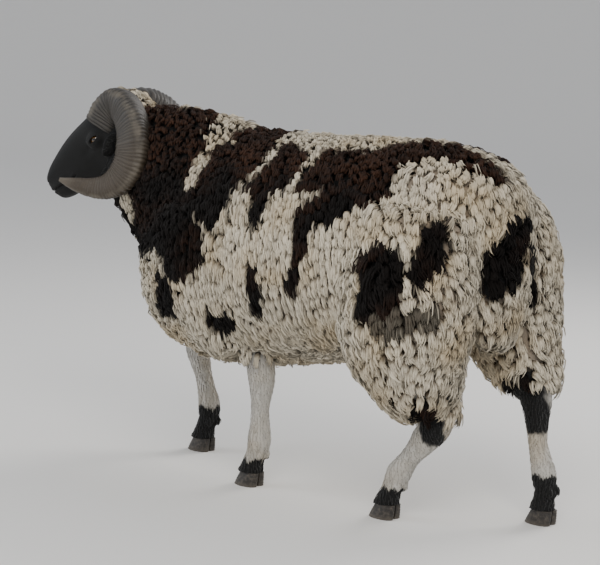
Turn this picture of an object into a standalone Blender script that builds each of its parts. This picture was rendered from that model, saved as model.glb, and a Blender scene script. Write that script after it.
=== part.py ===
"""A Jacob ram standing in a walking stance, life size.

Metres, +Z up. The head is towards -X, the animal's left side is towards -Y,
and the four feet stand on the plane Z = 0.
"""
import math
import random

import bmesh
import bpy
import numpy as np
from mathutils import Matrix, Vector
from mathutils.bvhtree import BVHTree

# Room between two parts, and round the horns and ears where they stand in the wool
GAP = 0.0003
CLEARANCE = 0.0009
SEED = 11

# Fleece: how far a clump stands above the core, and how the clumps are set out
CLUMP_HEIGHT = 0.024
CLUMPS = 190
CLUMP_LENGTH = 0.190
CLUMP_WIDTH = 0.164
CLUMP_SIDES = 6
# Rings of a clump: height, share of its full width, shift towards its tip
CLUMP_RINGS = [(-0.18, 1.00, 0.00), (0.72, 0.56, 0.05)]
ROOT_DEPTH = 0.55
SAMPLES = 7000
RELAX_ROUNDS = 8
KEPT_SHARE = 0.57

# Trunk without its clumps: x, top, bottom, half width
TRUNK = [
    (-0.490, 0.600, 0.400, 0.080),
    (-0.445, 0.665, 0.325, 0.130),
    (-0.360, 0.706, 0.258, 0.172),
    (-0.220, 0.722, 0.260, 0.205),
    (-0.050, 0.724, 0.290, 0.220),
    (0.110, 0.732, 0.320, 0.220),
    (0.220, 0.738, 0.370, 0.198),
    (0.305, 0.714, 0.430, 0.152),
    (0.355, 0.642, 0.490, 0.088),
]

# Neck without its clumps: x, y, z, half depth, half width
NECK = [
    (-0.300, 0.000, 0.545, 0.180, 0.150),
    (-0.400, -0.002, 0.580, 0.168, 0.135),
    (-0.475, -0.006, 0.605, 0.153, 0.112),
    (-0.540, -0.012, 0.618, 0.136, 0.090),
    (-0.592, -0.018, 0.616, 0.118, 0.072),
    (-0.630, -0.022, 0.598, 0.076, 0.052),
]

# Tail without its clumps: x, y, z, half depth, half width
TAIL = [
    (0.290, 0.000, 0.662, 0.030, 0.040),
    (0.336, -0.010, 0.628, 0.034, 0.052),
    (0.362, -0.018, 0.540, 0.032, 0.060),
    (0.364, -0.020, 0.445, 0.028, 0.054),
    (0.358, -0.020, 0.372, 0.016, 0.030),
]

# Wool-covered thigh of the right hind leg, and of the left, which is drawn forward
THIGHS = {
    "right": [
        (0.240, 0.115, 0.600, 0.112, 0.075),
        (0.262, 0.125, 0.500, 0.120, 0.088),
        (0.300, 0.130, 0.390, 0.092, 0.078),
        (0.350, 0.122, 0.300, 0.058, 0.052),
        (0.385, 0.108, 0.262, 0.040, 0.036),
    ],
    "left": [
        (0.235, -0.122, 0.600, 0.112, 0.082),
        (0.232, -0.140, 0.490, 0.128, 0.100),
        (0.240, -0.144, 0.375, 0.118, 0.094),
        (0.266, -0.132, 0.290, 0.078, 0.066),
        (0.284, -0.115, 0.242, 0.048, 0.042),
    ],
}

# Bare shanks, top to coronet: x, y, z, half depth, half width
SHANKS = {
    "fore_left": [
        (-0.265, -0.135, 0.500, 0.075, 0.050),
        (-0.215, -0.125, 0.400, 0.056, 0.044),
        (-0.165, -0.108, 0.310, 0.031, 0.028),
        (-0.150, -0.100, 0.235, 0.028, 0.026),
        (-0.153, -0.096, 0.165, 0.018, 0.017),
        (-0.154, -0.093, 0.100, 0.024, 0.022),
        (-0.165, -0.091, 0.064, 0.019, 0.019),
        (-0.178, -0.090, 0.020, 0.027, 0.026),
    ],
    "fore_right": [
        (-0.350, 0.135, 0.500, 0.075, 0.050),
        (-0.430, 0.125, 0.400, 0.056, 0.044),
        (-0.484, 0.108, 0.305, 0.031, 0.028),
        (-0.498, 0.100, 0.232, 0.028, 0.026),
        (-0.474, 0.096, 0.165, 0.018, 0.017),
        (-0.452, 0.093, 0.102, 0.024, 0.022),
        (-0.456, 0.091, 0.064, 0.019, 0.019),
        (-0.467, 0.090, 0.020, 0.027, 0.026),
    ],
    "hind_left": [
        (0.245, -0.122, 0.420, 0.080, 0.050),
        (0.288, -0.115, 0.275, 0.040, 0.030),
        (0.294, -0.108, 0.212, 0.036, 0.024),
        (0.266, -0.104, 0.170, 0.027, 0.020),
        (0.236, -0.102, 0.132, 0.019, 0.018),
        (0.208, -0.100, 0.094, 0.024, 0.023),
        (0.194, -0.100, 0.062, 0.019, 0.019),
        (0.180, -0.100, 0.020, 0.027, 0.026),
    ],
    "hind_right": [
        (0.300, 0.122, 0.420, 0.075, 0.050),
        (0.362, 0.112, 0.310, 0.036, 0.030),
        (0.386, 0.106, 0.250, 0.034, 0.024),
        (0.394, 0.103, 0.205, 0.024, 0.020),
        (0.402, 0.101, 0.155, 0.018, 0.018),
        (0.420, 0.100, 0.098, 0.024, 0.023),
        (0.424, 0.100, 0.062, 0.019, 0.019),
        (0.420, 0.100, 0.020, 0.027, 0.026),
    ],
}

DEWCLAW_BACK = 0.020
DEWCLAW_SIDE = 0.013
DEWCLAW_UP = 0.006
DEWCLAW_SIZE = Vector((0.008, 0.007, 0.011))

# Woolly pouch between the thighs
POUCH = Vector((0.215, -0.004, 0.345))
POUCH_SIZE = Vector((0.046, 0.040, 0.070))

# Elbow and shoulder wool over the top of each foreleg
SHOULDERS = {
    "left": [
        (-0.290, -0.120, 0.560, 0.120, 0.075),
        (-0.275, -0.135, 0.450, 0.110, 0.074),
        (-0.240, -0.130, 0.360, 0.072, 0.056),
        (-0.200, -0.116, 0.300, 0.042, 0.038),
    ],
    "right": [
        (-0.350, 0.120, 0.560, 0.120, 0.075),
        (-0.375, 0.135, 0.450, 0.110, 0.074),
        (-0.410, 0.130, 0.360, 0.072, 0.056),
        (-0.440, 0.116, 0.300, 0.042, 0.038),
    ],
}

# Head: place and bearing of its frame, whose axes run forward, to the right and up
HEAD_ORIGIN = Vector((-0.632, -0.024, 0.752))
HEAD_YAW = math.radians(15.0)
HEAD_PITCH = math.radians(46.0)

# Head sections: forward, top, bottom, half width at the cheek, half width at the jaw
HEAD = [
    (-0.035, 0.018, -0.082, 0.048, 0.040),
    (0.005, 0.036, -0.102, 0.058, 0.046),
    (0.045, 0.044, -0.110, 0.063, 0.046),
    (0.085, 0.046, -0.102, 0.060, 0.041),
    (0.125, 0.048, -0.084, 0.048, 0.033),
    (0.160, 0.046, -0.071, 0.038, 0.029),
    (0.195, 0.039, -0.060, 0.035, 0.028),
    (0.225, 0.030, -0.052, 0.034, 0.029),
    (0.245, 0.016, -0.044, 0.027, 0.024),
    (0.252, 0.002, -0.034, 0.014, 0.012),
]

EYE_PLACE = Vector((0.079, 0.045, -0.016))
EYE_RADIUS = 0.0145
LID = Vector((0.023, 0.0165, 0.019))
BROW = Vector((0.030, 0.014, 0.011))

NOSTRIL = Vector((0.244, 0.018, 0.005))
NOSTRIL_SIZE = Vector((0.010, 0.0045, 0.0065))
MOUTH_FRONT = Vector((0.225, 0.0, -0.020))
MOUTH_CORNER = Vector((0.180, 0.0, -0.034))
MOUTH_WIDTH = 0.0030
MOUTH_DEPTH = 0.0035

# Horn, from inside the skull round to its tip: forward, up, out from the midline, half depth, half width
HORN_TURN = [
    (0.034, -0.034, 0.040, 0.038, 0.032),
    (0.014, -0.002, 0.043, 0.039, 0.033),
    (-0.014, 0.013, 0.053, 0.038, 0.033),
    (-0.046, 0.001, 0.075, 0.038, 0.033),
    (-0.074, -0.034, 0.097, 0.039, 0.032),
    (-0.088, -0.078, 0.115, 0.040, 0.032),
    (-0.085, -0.112, 0.124, 0.038, 0.030),
    (-0.066, -0.144, 0.130, 0.034, 0.027),
    (-0.034, -0.163, 0.133, 0.027, 0.022),
    (0.002, -0.166, 0.138, 0.021, 0.017),
    (0.036, -0.160, 0.147, 0.0145, 0.012),
    (0.067, -0.151, 0.160, 0.004, 0.004),
]
HORN_MIDDLE = Vector((-0.015, 0.0, -0.090))
HORN_RINGS = 45
HORN_SIDES = 9
RIDGE_DIP = 0.93
HORN_KEEL = 0.10

EAR_ROOT = Vector((-0.010, 0.047, -0.056))
EAR_ALONG = Vector((-0.08, 0.88, -0.42))
EAR_OPENING = Vector((0.85, 0.20, -0.25))
EAR_LENGTH = 0.088
EAR_WIDTH = 0.042
EAR_THICKNESS = 0.0045

CORONET = 0.030

# Colour and roughness of each kind of part
FINISHES = {
    "torso": ((0.62, 0.56, 0.46, 1.0), 0.95),
    "neck": ((0.045, 0.026, 0.018, 1.0), 0.95),
    "tail": ((0.12, 0.085, 0.065, 1.0), 0.95),
    "hindleg": ((0.55, 0.50, 0.42, 1.0), 0.95),
    "foreleg": ((0.70, 0.68, 0.63, 1.0), 0.90),
    "head": ((0.012, 0.011, 0.011, 1.0), 0.75),
    "ear": ((0.014, 0.012, 0.012, 1.0), 0.80),
    "eye": ((0.35, 0.20, 0.05, 1.0), 0.08),
    "horn": ((0.17, 0.12, 0.085, 1.0), 0.55),
    "claw": ((0.025, 0.022, 0.020, 1.0), 0.50),
}
CREASE = math.radians(32.0)


def clear_scene():
    for obj in list(bpy.data.objects):
        bpy.data.objects.remove(obj)


def material(name, colour, roughness):
    made = bpy.data.materials.new(name)
    made.use_nodes = True
    shader = made.node_tree.nodes["Principled BSDF"]
    shader.inputs["Base Color"].default_value = colour
    shader.inputs["Roughness"].default_value = roughness
    return made


def collection(name):
    made = bpy.data.collections.new(name)
    bpy.context.scene.collection.children.link(made)
    return made


def mesh_object(name, mesh, where):
    obj = bpy.data.objects.new(name, mesh)
    where.objects.link(obj)
    return obj


def from_bmesh(name, bm, where):
    bmesh.ops.recalc_face_normals(bm, faces=bm.faces)
    mesh = bpy.data.meshes.new(name)
    bm.to_mesh(mesh)
    bm.free()
    return mesh_object(name, mesh, where)


def between(rows, count):
    """The rows joined by a smooth Catmull-Rom curve, read at an even count of places."""
    last = len(rows) - 1
    made = []
    for i in range(count):
        place = i / (count - 1) * last
        k = min(int(place), last - 1)
        t = place - k
        a, b = rows[max(k - 1, 0)], rows[k]
        c, d = rows[k + 1], rows[min(k + 2, last)]
        made.append(tuple(
            0.5 * (2 * q + (r - p) * t + (2 * p - 5 * q + 4 * r - s) * t * t
                   + (3 * q - p - 3 * r + s) * t ** 3)
            for p, q, r, s in zip(a, b, c, d)
        ))
    return made


def loft(name, rings, where):
    """A closed skin over rings of equal count, with a point in the middle of each end."""
    bm = bmesh.new()
    rows = [[bm.verts.new(p) for p in ring] for ring in rings]
    sides = len(rings[0])
    for low, high in zip(rows, rows[1:]):
        for j in range(sides):
            k = (j + 1) % sides
            bm.faces.new((low[j], low[k], high[k], high[j]))
    for row in (rows[0], rows[-1]):
        middle = bm.verts.new(sum((v.co for v in row), Vector()) / sides)
        for j in range(sides):
            bm.faces.new((row[j], row[(j + 1) % sides], middle))
    return from_bmesh(name, bm, where)


def limb(name, stations, sides, rings, where, grow=0.0, egg=0.0):
    """A body length over stations of x, y, z, half depth and half width, square to its own line."""
    rows = between(stations, rings)
    across = Vector((0, 1, 0))
    made = []
    for i, row in enumerate(rows):
        middle = Vector(row[:3])
        ahead = Vector(rows[min(i + 1, rings - 1)][:3]) - Vector(rows[max(i - 1, 0)][:3])
        ahead.normalize()
        side = (across - ahead * across.dot(ahead)).normalized()
        deep = ahead.cross(side)
        ring = []
        for j in range(sides):
            angle = 2 * math.pi * (j + 0.5) / sides
            c, s = math.cos(angle), math.sin(angle)
            width = (row[4] + grow) * (1 - egg * s)
            ring.append(middle + side * (width * c) + deep * ((row[3] + grow) * s))
        made.append(ring)
    return loft(name, made, where)


def trunk(where, grow=0.0):
    stations = [(x, 0.0, (top + low) / 2, (top - low) / 2, half) for x, top, low, half in TRUNK]
    return limb("trunk", stations, 20, 16, where, grow, egg=0.10)


def head_matrix():
    forward = Vector((
        -math.cos(HEAD_PITCH) * math.cos(HEAD_YAW),
        -math.cos(HEAD_PITCH) * math.sin(HEAD_YAW),
        -math.sin(HEAD_PITCH),
    ))
    right = Vector((-math.sin(HEAD_YAW), math.cos(HEAD_YAW), 0))
    up = right.cross(forward)
    turn = Matrix((forward, right, up)).transposed()
    return Matrix.Translation(HEAD_ORIGIN) @ turn.to_4x4()


def bearing_matrix():
    """The head's place and yaw without its pitch, in which the horns are set out."""
    forward = Vector((-math.cos(HEAD_YAW), -math.sin(HEAD_YAW), 0))
    right = Vector((-math.sin(HEAD_YAW), math.cos(HEAD_YAW), 0))
    turn = Matrix((forward, right, Vector((0, 0, 1)))).transposed()
    return Matrix.Translation(HEAD_ORIGIN) @ turn.to_4x4()


def placed(obj, matrix):
    """Sets the mesh out by the matrix. The head's frame is left-handed, so its faces are turned back."""
    obj.data.transform(matrix)
    if matrix.determinant() < 0:
        obj.data.flip_normals()
    return obj


def baked(obj):
    """The object's mesh with its modifiers applied and its matrix in its points."""
    graph = bpy.context.evaluated_depsgraph_get()
    mesh = bpy.data.meshes.new_from_object(obj.evaluated_get(graph))
    mesh.transform(obj.matrix_world)
    return mesh


def largest(mesh):
    """Keeps the largest closed surface of a mesh."""
    bm = bmesh.new()
    bm.from_mesh(mesh)
    bmesh.ops.triangulate(bm, faces=bm.faces)
    left = set(bm.verts)
    groups = []
    while left:
        seed = left.pop()
        group, edge = {seed}, [seed]
        while edge:
            for link in edge.pop().link_edges:
                for vert in link.verts:
                    if vert in left:
                        left.remove(vert)
                        group.add(vert)
                        edge.append(vert)
        groups.append(group)
    groups.sort(key=len)
    drop = [v for group in groups[:-1] for v in group]
    bmesh.ops.delete(bm, geom=drop, context="VERTS")
    bm.to_mesh(mesh)
    bm.free()
    return mesh


def boolean(name, base, operation, others, where, solver="MANIFOLD"):
    """A new object: base joined with, cut by or kept within the others. The inputs are removed."""
    held = collection(name + "_operands")
    for other in others:
        for owner in list(other.users_collection):
            owner.objects.unlink(other)
        held.objects.link(other)
    modifier = base.modifiers.new("join", "BOOLEAN")
    modifier.operation = operation
    modifier.operand_type = "COLLECTION"
    modifier.collection = held
    modifier.solver = solver
    bpy.context.view_layer.update()
    made = mesh_object(name, largest(baked(base)), where)
    for obj in [base, *list(held.objects)]:
        bpy.data.objects.remove(obj)
    bpy.data.collections.remove(held)
    return made


def copy_of(obj, where):
    return mesh_object(obj.name + "_copy", obj.data.copy(), where)


def block(name, planes, where, shrink=0.0):
    """The convex space inside every plane, each a point and an outward direction."""
    bm = bmesh.new()
    bmesh.ops.create_cube(bm, size=4.0)
    for point, out in planes:
        out = Vector(out).normalized()
        bmesh.ops.bisect_plane(
            bm, geom=[*bm.verts, *bm.edges, *bm.faces], dist=1e-6,
            plane_co=Vector(point) - out * shrink, plane_no=out, clear_outer=True,
        )
        rim = [e for e in bm.edges if e.is_boundary]
        if rim:
            bmesh.ops.edgeloop_fill(bm, edges=rim)
    bmesh.ops.triangulate(bm, faces=bm.faces)
    return from_bmesh(name, bm, where)


def signed_power(value, power):
    return math.copysign(abs(value) ** power, value)


def head_skin(where, sides=20, rings=17):
    made = []
    for s, top, low, cheek, jaw in between(HEAD, rings):
        ring = []
        for j in range(sides):
            angle = 2 * math.pi * (j + 0.5) / sides
            c, d = math.cos(angle), math.sin(angle)
            share = (d + 1) / 2
            width = jaw + (cheek - jaw) * share * share * (3 - 2 * share)
            ring.append(Vector((
                s, width * signed_power(c, 0.85),
                (top + low) / 2 + (top - low) / 2 * signed_power(d, 0.9),
            )))
        made.append(ring)
    return loft("head_skin", made, where)


def horn(name, side, where):
    """One ribbed horn; side is -1 for left and +1 for right."""
    rows = between(HORN_TURN, HORN_RINGS)
    spine = [Vector((forward, side * out, up)) for forward, up, out, _, _ in rows]
    made = []
    for i, (place, row) in enumerate(zip(spine, rows)):
        ahead = (spine[min(i + 1, HORN_RINGS - 1)] - spine[max(i - 1, 0)]).normalized()
        outward = place - HORN_MIDDLE
        outward.y = 0
        outward = (outward - ahead * outward.dot(ahead)).normalized()
        across = ahead.cross(outward)
        if across.y * side < 0:
            across = -across
        ridge = 1.0 if i % 2 else RIDGE_DIP
        ring = []
        for j in range(HORN_SIDES):
            angle = 2 * math.pi * j / HORN_SIDES
            keel = 1 + HORN_KEEL * math.cos(3 * (angle - math.radians(50)))
            ring.append(
                place
                + outward * (row[3] * ridge * keel * math.cos(angle))
                + across * (row[4] * ridge * keel * math.sin(angle))
            )
        made.append(ring)
    return placed(loft(name, made, where), bearing_matrix())


def ear(name, side, where):
    """A cupped leaf, open forwards and outwards."""
    mirror = Vector((1, side, 1))
    along = (EAR_ALONG * mirror).normalized()
    opening = EAR_OPENING * mirror
    opening = (opening - along * opening.dot(along)).normalized()
    wide = along.cross(opening)
    rows = between([
        (0.00, 0.40, 1.00), (0.25, 0.80, 0.85), (0.55, 1.00, 0.55), (0.80, 0.72, 0.34), (1.0, 0.16, 0.10),
    ], 9)
    arc = 6
    made = []
    for t, width, cup in rows:
        middle = EAR_ROOT * mirror + along * (EAR_LENGTH * t)
        half, deep = EAR_WIDTH / 2 * width, EAR_WIDTH / 2 * cup
        wall = min(EAR_THICKNESS, half * 0.7)
        ring = []
        for k in range(arc):
            angle = math.pi * k / (arc - 1)
            ring.append(middle + wide * (half * math.cos(angle)) - opening * (deep * math.sin(angle)))
        for k in reversed(range(arc)):
            angle = math.pi * k / (arc - 1)
            ring.append(
                middle + wide * ((half - wall) * math.cos(angle))
                - opening * ((deep - wall) * math.sin(angle) - wall * 0.4)
            )
        made.append(ring)
    return placed(loft(name, made, where), bearing_matrix())


def ball(name, centre, radii, where, segments=12, rings=8):
    bm = bmesh.new()
    bmesh.ops.create_uvsphere(bm, u_segments=segments, v_segments=rings, radius=1.0)
    bmesh.ops.scale(bm, vec=Vector(radii), verts=bm.verts)
    bmesh.ops.translate(bm, vec=Vector(centre), verts=bm.verts)
    return from_bmesh(name, bm, where)


def grown(obj, by, where):
    """A copy pushed out along its normals."""
    made = copy_of(obj, where)
    normals = [v.normal.copy() for v in made.data.vertices]
    for vert, normal in zip(made.data.vertices, normals):
        vert.co += normal * by
    return made


def clump(tree, place, normal, lie, size, where):
    """A rounded clump of wool laid over the core, its root sunk in and its crown set towards its tip."""
    lie = (lie - normal * lie.dot(normal)).normalized()
    across = normal.cross(lie)
    bm = bmesh.new()
    rows = []
    for height, share, shift in CLUMP_RINGS:
        row = []
        for j in range(CLUMP_SIDES):
            angle = 2 * math.pi * (j + 0.5) / CLUMP_SIDES
            over = (
                place
                + lie * (CLUMP_LENGTH * size * (0.5 * share * math.cos(angle) + shift))
                + across * (CLUMP_WIDTH * size * 0.5 * share * math.sin(angle))
            )
            near, upward = tree.find_nearest(over)[:2]
            upward = (upward + normal).normalized()
            row.append(bm.verts.new(near + upward * (CLUMP_HEIGHT * height)))
        rows.append(row)
    for low, high in zip(rows, rows[1:]):
        for j in range(CLUMP_SIDES):
            k = (j + 1) % CLUMP_SIDES
            bm.faces.new((low[j], low[k], high[k], high[j]))
    root = bm.verts.new(place - normal * (CLUMP_HEIGHT * ROOT_DEPTH))
    crown = bm.verts.new(place + normal * CLUMP_HEIGHT + lie * (CLUMP_LENGTH * size * 0.08))
    for j in range(CLUMP_SIDES):
        k = (j + 1) % CLUMP_SIDES
        bm.faces.new((rows[0][k], rows[0][j], root))
        bm.faces.new((rows[-1][j], rows[-1][k], crown))
    bmesh.ops.triangulate(bm, faces=bm.faces)
    return from_bmesh("clump", bm, where)


def fineness(place):
    """The size of the clumps at a place, against those of the trunk."""
    if place.x > 0.30 and abs(place.y + 0.02) < 0.09:
        return 0.60
    if place.x > 0.05:
        return 0.66 + 0.34 * min(1.0, max(0.0, (place.z - 0.22) / 0.20))
    if place.z < 0.36:
        return 0.72
    return 1.0 - 0.30 * min(1.0, max(0.0, (-0.40 - place.x) / 0.15))


def lie_at(place, normal):
    """The way the wool hangs: down and a little back, and outwards along the spine and the belly."""
    hang = Vector((0.22, 0.0, -1.0))
    if abs(normal.z) > 0.75:
        hang = Vector((0.75, math.copysign(0.9, place.y), 0.0))
    return hang


def woolly(place):
    """Where a clump may root: off the bare shanks and clear of the head."""
    if place.z < 0.235 and place.x > 0.1 and place.y < 0:
        return False
    if place.z < 0.290 and not (place.x > 0.1 and place.y < 0) and abs(place.y) > 0.05:
        return False
    return place.x > -0.56


def even_places(core, count):
    """Places spread evenly over the wool-bearing part of the core, each with its face's normal."""
    random.seed(SEED)
    core.data.calc_loop_triangles()
    points = np.array([v.co for v in core.data.vertices])
    faces = np.array([t.vertices for t in core.data.loop_triangles])
    corners = points[faces]
    normals = np.cross(corners[:, 1] - corners[:, 0], corners[:, 2] - corners[:, 0])
    weights = np.linalg.norm(normals, axis=1)
    weights /= [fineness(Vector(middle)) ** 2 for middle in corners.mean(axis=1)]
    picks = random.choices(range(len(faces)), weights=weights, k=SAMPLES)
    shares = np.array([(random.random(), random.random()) for _ in picks])
    over = shares.sum(axis=1) > 1
    shares[over] = 1 - shares[over]
    chosen = corners[picks]
    spots = (
        chosen[:, 0]
        + (chosen[:, 1] - chosen[:, 0]) * shares[:, :1]
        + (chosen[:, 2] - chosen[:, 0]) * shares[:, 1:]
    )
    spots = spots[[woolly(Vector(p)) for p in spots]]
    places = spots[:count]
    for _ in range(RELAX_ROUNDS):
        nearest = np.argmin(((spots[:, None] - places[None]) ** 2).sum(axis=2), axis=1)
        places = np.array([
            spots[nearest == k].mean(axis=0) if (nearest == k).any() else places[k]
            for k in range(len(places))
        ])
    tree = BVHTree.FromPolygons([Vector(p) for p in points], faces.tolist())
    return tree, [tree.find_nearest(Vector(p))[:2] for p in places]


def clumps(core, where):
    """Clumps set evenly over the wool-bearing part of the core."""
    tree, places = even_places(core, CLUMPS)
    made = []
    for place, normal in places:
        normal = soft_normal(tree, place, normal)
        stray = Vector((random.uniform(-0.15, 0.15), random.uniform(-0.15, 0.15), 0))
        size = fineness(place) * random.uniform(0.94, 1.08)
        made.append(clump(tree, place, normal, lie_at(place, normal) + stray, size, where))
    return made


def soft_normal(tree, place, normal):
    """The mean of the surface's normals round a place, so that a clump sits level across a crease."""
    total = normal * 1.0
    for _, near, _, distance in tree.find_nearest_range(place, 0.03):
        total += near * (1 - distance / 0.03)
    return total.normalized()


def claw(name, foot, side, where):
    """One half of a cloven hoof, flat underneath, with its inner wall along the cleft."""
    sole = [(0.034, 0.006), (0.022, 0.019), (0.000, 0.025), (-0.020, 0.021), (-0.026, 0.010),
            (-0.022, 0.0015), (0.000, 0.0015), (0.024, 0.0015)]
    rings = []
    for height, share, back in ((0.0, 1.0, 0.0), (0.008, 0.98, 0.002), (CORONET - GAP, 0.80, 0.008)):
        rings.append([
            Vector((foot.x - (f * share - back), foot.y + side * (0.0015 + (l - 0.0015) * share), height))
            for f, l in sole
        ])
    return loft(name, rings, where)


def head(where):
    skin = head_skin(where)
    adds, eyes = [], {}
    for side, name in ((-1, "left"), (1, "right")):
        centre = Vector((EYE_PLACE.x, side * EYE_PLACE.y, EYE_PLACE.z))
        adds.append(ball("lid", centre, LID, where))
        adds.append(ball("brow", centre + Vector((-0.004, -side * 0.006, 0.016)), BROW, where, 10, 6))
        eyes[name] = centre
    skin = boolean("skin", skin, "UNION", adds, where)
    cutters = []
    for side, name in ((-1, "left"), (1, "right")):
        centre = eyes[name]
        room = EYE_RADIUS + GAP
        cutters.append(ball("socket", centre, (room, room, room), where))
        opening = centre + Vector((0.0, side * EYE_RADIUS * 1.1, 0.0))
        cutters.append(ball("lid_gap", opening, (0.0115, 0.012, 0.0058), where, 10, 6))
        nostril = Vector((NOSTRIL.x, side * NOSTRIL.y, NOSTRIL.z))
        cutters.append(ball("nostril", nostril, NOSTRIL_SIZE, where, 8, 6))
    skin = boolean("head_bare", skin, "DIFFERENCE", cutters, where)
    skin = boolean("head", skin, "DIFFERENCE", [mouth_line(skin, where)], where)
    return placed(skin, head_matrix()), eyes


def mouth_line(skin, where):
    """A thin cord laid on the muzzle from corner to corner, which cuts the line of the mouth."""
    skin.data.calc_loop_triangles()
    tree = BVHTree.FromPolygons(
        [v.co for v in skin.data.vertices], [tuple(t.vertices) for t in skin.data.loop_triangles])
    steps = 7
    path = []
    for k in range(-steps, steps + 1):
        share = abs(k) / steps
        inside = MOUTH_FRONT.lerp(MOUTH_CORNER, share ** 1.5)
        toward = Vector((math.cos(share * math.pi / 2), math.copysign(math.sin(share * math.pi / 2), k), 0))
        path.append(tree.ray_cast(inside, toward)[0])
    rings = []
    for i, point in enumerate(path):
        ahead = (path[min(i + 1, 2 * steps)] - path[max(i - 1, 0)]).normalized()
        up = Vector((0, 0, 1))
        out = ahead.cross(up).normalized()
        rings.append([
            point
            + up * (MOUTH_WIDTH / 2 * math.sin(math.pi * j / 2))
            + out * (MOUTH_DEPTH * math.cos(math.pi * j / 2))
            for j in range(4)
        ])
    return loft("mouth", rings, where)


# Where the body is parted: each region is convex, given by points and outward directions
NECK_BASE = ((-0.385, 0, 0.580), (0.79, 0, -0.62))
TAIL_SIDE = 0.086
FORELEG_FRONT = {"left": -0.262, "right": -0.700}
FORELEG_BACK = {"left": -0.085, "right": -0.372}


def regions():
    """Each node's name and the planes that bound it, in the order in which they are parted."""
    made = {
        "neck": [NECK_BASE],
        "tail": [
            ((0.338, 0, 0.540), (-1.0, 0, -0.08)),
            ((0.290, 0, 0.665), (-0.45, 0, 0.89)),
            ((0, -0.018 - TAIL_SIDE, 0), (0, -1, 0)),
            ((0, -0.018 + TAIL_SIDE, 0), (0, 1, 0)),
            ((0, 0, 0.335), (0, 0, -1)),
        ],
    }
    for side, name in ((-1, "left"), (1, "right")):
        made["foreleg_" + name] = [
            ((0, side * 0.055, 0), (0, -side, 0)),
            ((0, 0, 0.345), (0.0, 0, 1)),
            ((FORELEG_BACK[name], 0, 0), (1, 0, 0)),
            ((FORELEG_FRONT[name], 0, 0), (-1, 0, 0)),
            ((0, 0, CORONET), (0, 0, -1)),
        ]
        made["hindleg_" + name] = [
            ((0, side * 0.045, 0), (0, -side, 0)),
            ((0.22, 0, 0.500), (-0.30, 0, 0.95)),
            ((0.10, 0, 0.40), (-1.0, 0, -0.12)),
            ((0, 0, CORONET), (0, 0, -1)),
        ]
    return made


def fleeced_body(work):
    """The trunk, neck, tail and legs as one body with its clumps."""
    core = [trunk(work), limb("neck_core", NECK, 16, 10, work, egg=-0.05)]
    core.append(limb("tail_core", TAIL, 10, 8, work))
    for rows in THIGHS.values():
        core.append(limb("thigh", rows, 14, 9, work))
    for rows in SHOULDERS.values():
        core.append(limb("shoulder", rows, 12, 7, work))
    for rows in SHANKS.values():
        core.append(limb("shank", rows, 8, 20, work))
        fetlock = Vector(rows[-2][:3])
        for side in (-1, 1):
            dewclaw = fetlock + Vector((DEWCLAW_BACK, side * DEWCLAW_SIDE, DEWCLAW_UP))
            core.append(ball("dewclaw", dewclaw, DEWCLAW_SIZE, work, 6, 4))
    core.append(ball("pouch", POUCH, POUCH_SIZE, work, 10, 8))
    core = boolean("core", core[0], "UNION", core[1:], work)
    whole = boolean("whole", core, "UNION", clumps(core, work), work)
    thinned = whole.modifiers.new("thinned", "DECIMATE")
    thinned.ratio = KEPT_SHARE
    bpy.context.view_layer.update()
    return mesh_object("fleeced", baked(whole), work)


def centre(parts):
    """Moves every part alike, so that the middle of the whole stands over the origin."""
    points = [vert.co for obj in parts.objects for vert in obj.data.vertices]
    low = Vector(min(p[k] for p in points) for k in range(3))
    high = Vector(max(p[k] for p in points) for k in range(3))
    shift = Matrix.Translation((-(low.x + high.x) / 2, -(low.y + high.y) / 2, 0))
    for obj in parts.objects:
        obj.data.transform(shift)


def finish(parts):
    """Gives each part its own material and its shading."""
    for obj in parts.objects:
        kind = next(k for k in FINISHES if obj.name.startswith(k))
        colour, roughness = FINISHES[kind]
        obj.data.materials.clear()
        obj.data.materials.append(material(obj.name, colour, roughness))
        obj.data.shade_smooth()
        obj.data.set_sharp_from_angle(angle=CREASE)


def build():
    clear_scene()
    parts = collection("jacob_sheep")
    work = collection("work")
    work.hide_render = True

    skull, eyes = head(parts)
    around = grown(skull, 1.3 * GAP, work)
    clear = []
    for side, name in ((-1, "left"), (1, "right")):
        placed(ball("eye_" + name, eyes[name], [EYE_RADIUS] * 3, parts), head_matrix())
        for kind, part in (("horn", horn), ("ear", ear)):
            whole = part("whole", side, work)
            clear.append(grown(whole, CLEARANCE, work))
            boolean(f"{kind}_{name}", whole, "DIFFERENCE", [copy_of(around, work)], parts)
    clear.append(around)

    rest = boolean("rest", fleeced_body(work), "DIFFERENCE", clear, work)
    for name, planes in regions().items():
        inside = block(name + "_inside", planes, work, shrink=GAP / 2)
        outside = block(name + "_outside", planes, work, shrink=-GAP / 2)
        boolean(name, copy_of(rest, work), "INTERSECT", [inside], parts)
        rest = boolean("rest", rest, "DIFFERENCE", [outside], work)
    mesh_object("torso", rest.data, parts)

    for leg, rows in SHANKS.items():
        foot = Vector(rows[-1][:3])
        for side, name in ((-1, "left"), (1, "right")):
            claw(f"claw_{leg}_{name}", foot, side, parts)
    for obj in list(work.objects):
        bpy.data.objects.remove(obj)
    centre(parts)
    finish(parts)


build()
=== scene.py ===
"""The looks of a standing Jacob ram: skin, markings, fleece, face, horns, eyes and hooves.

Metres, +Z up. The head is towards -X and the animal's left side towards -Y, as in the frame.
"""

import math

import bmesh
import bpy
import numpy as np
from bpy.props import FloatProperty, FloatVectorProperty, PointerProperty
from bpy.types import Operator, Panel, PropertyGroup
from mathutils import Matrix, Vector
from mathutils.bvhtree import BVHTree


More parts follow.
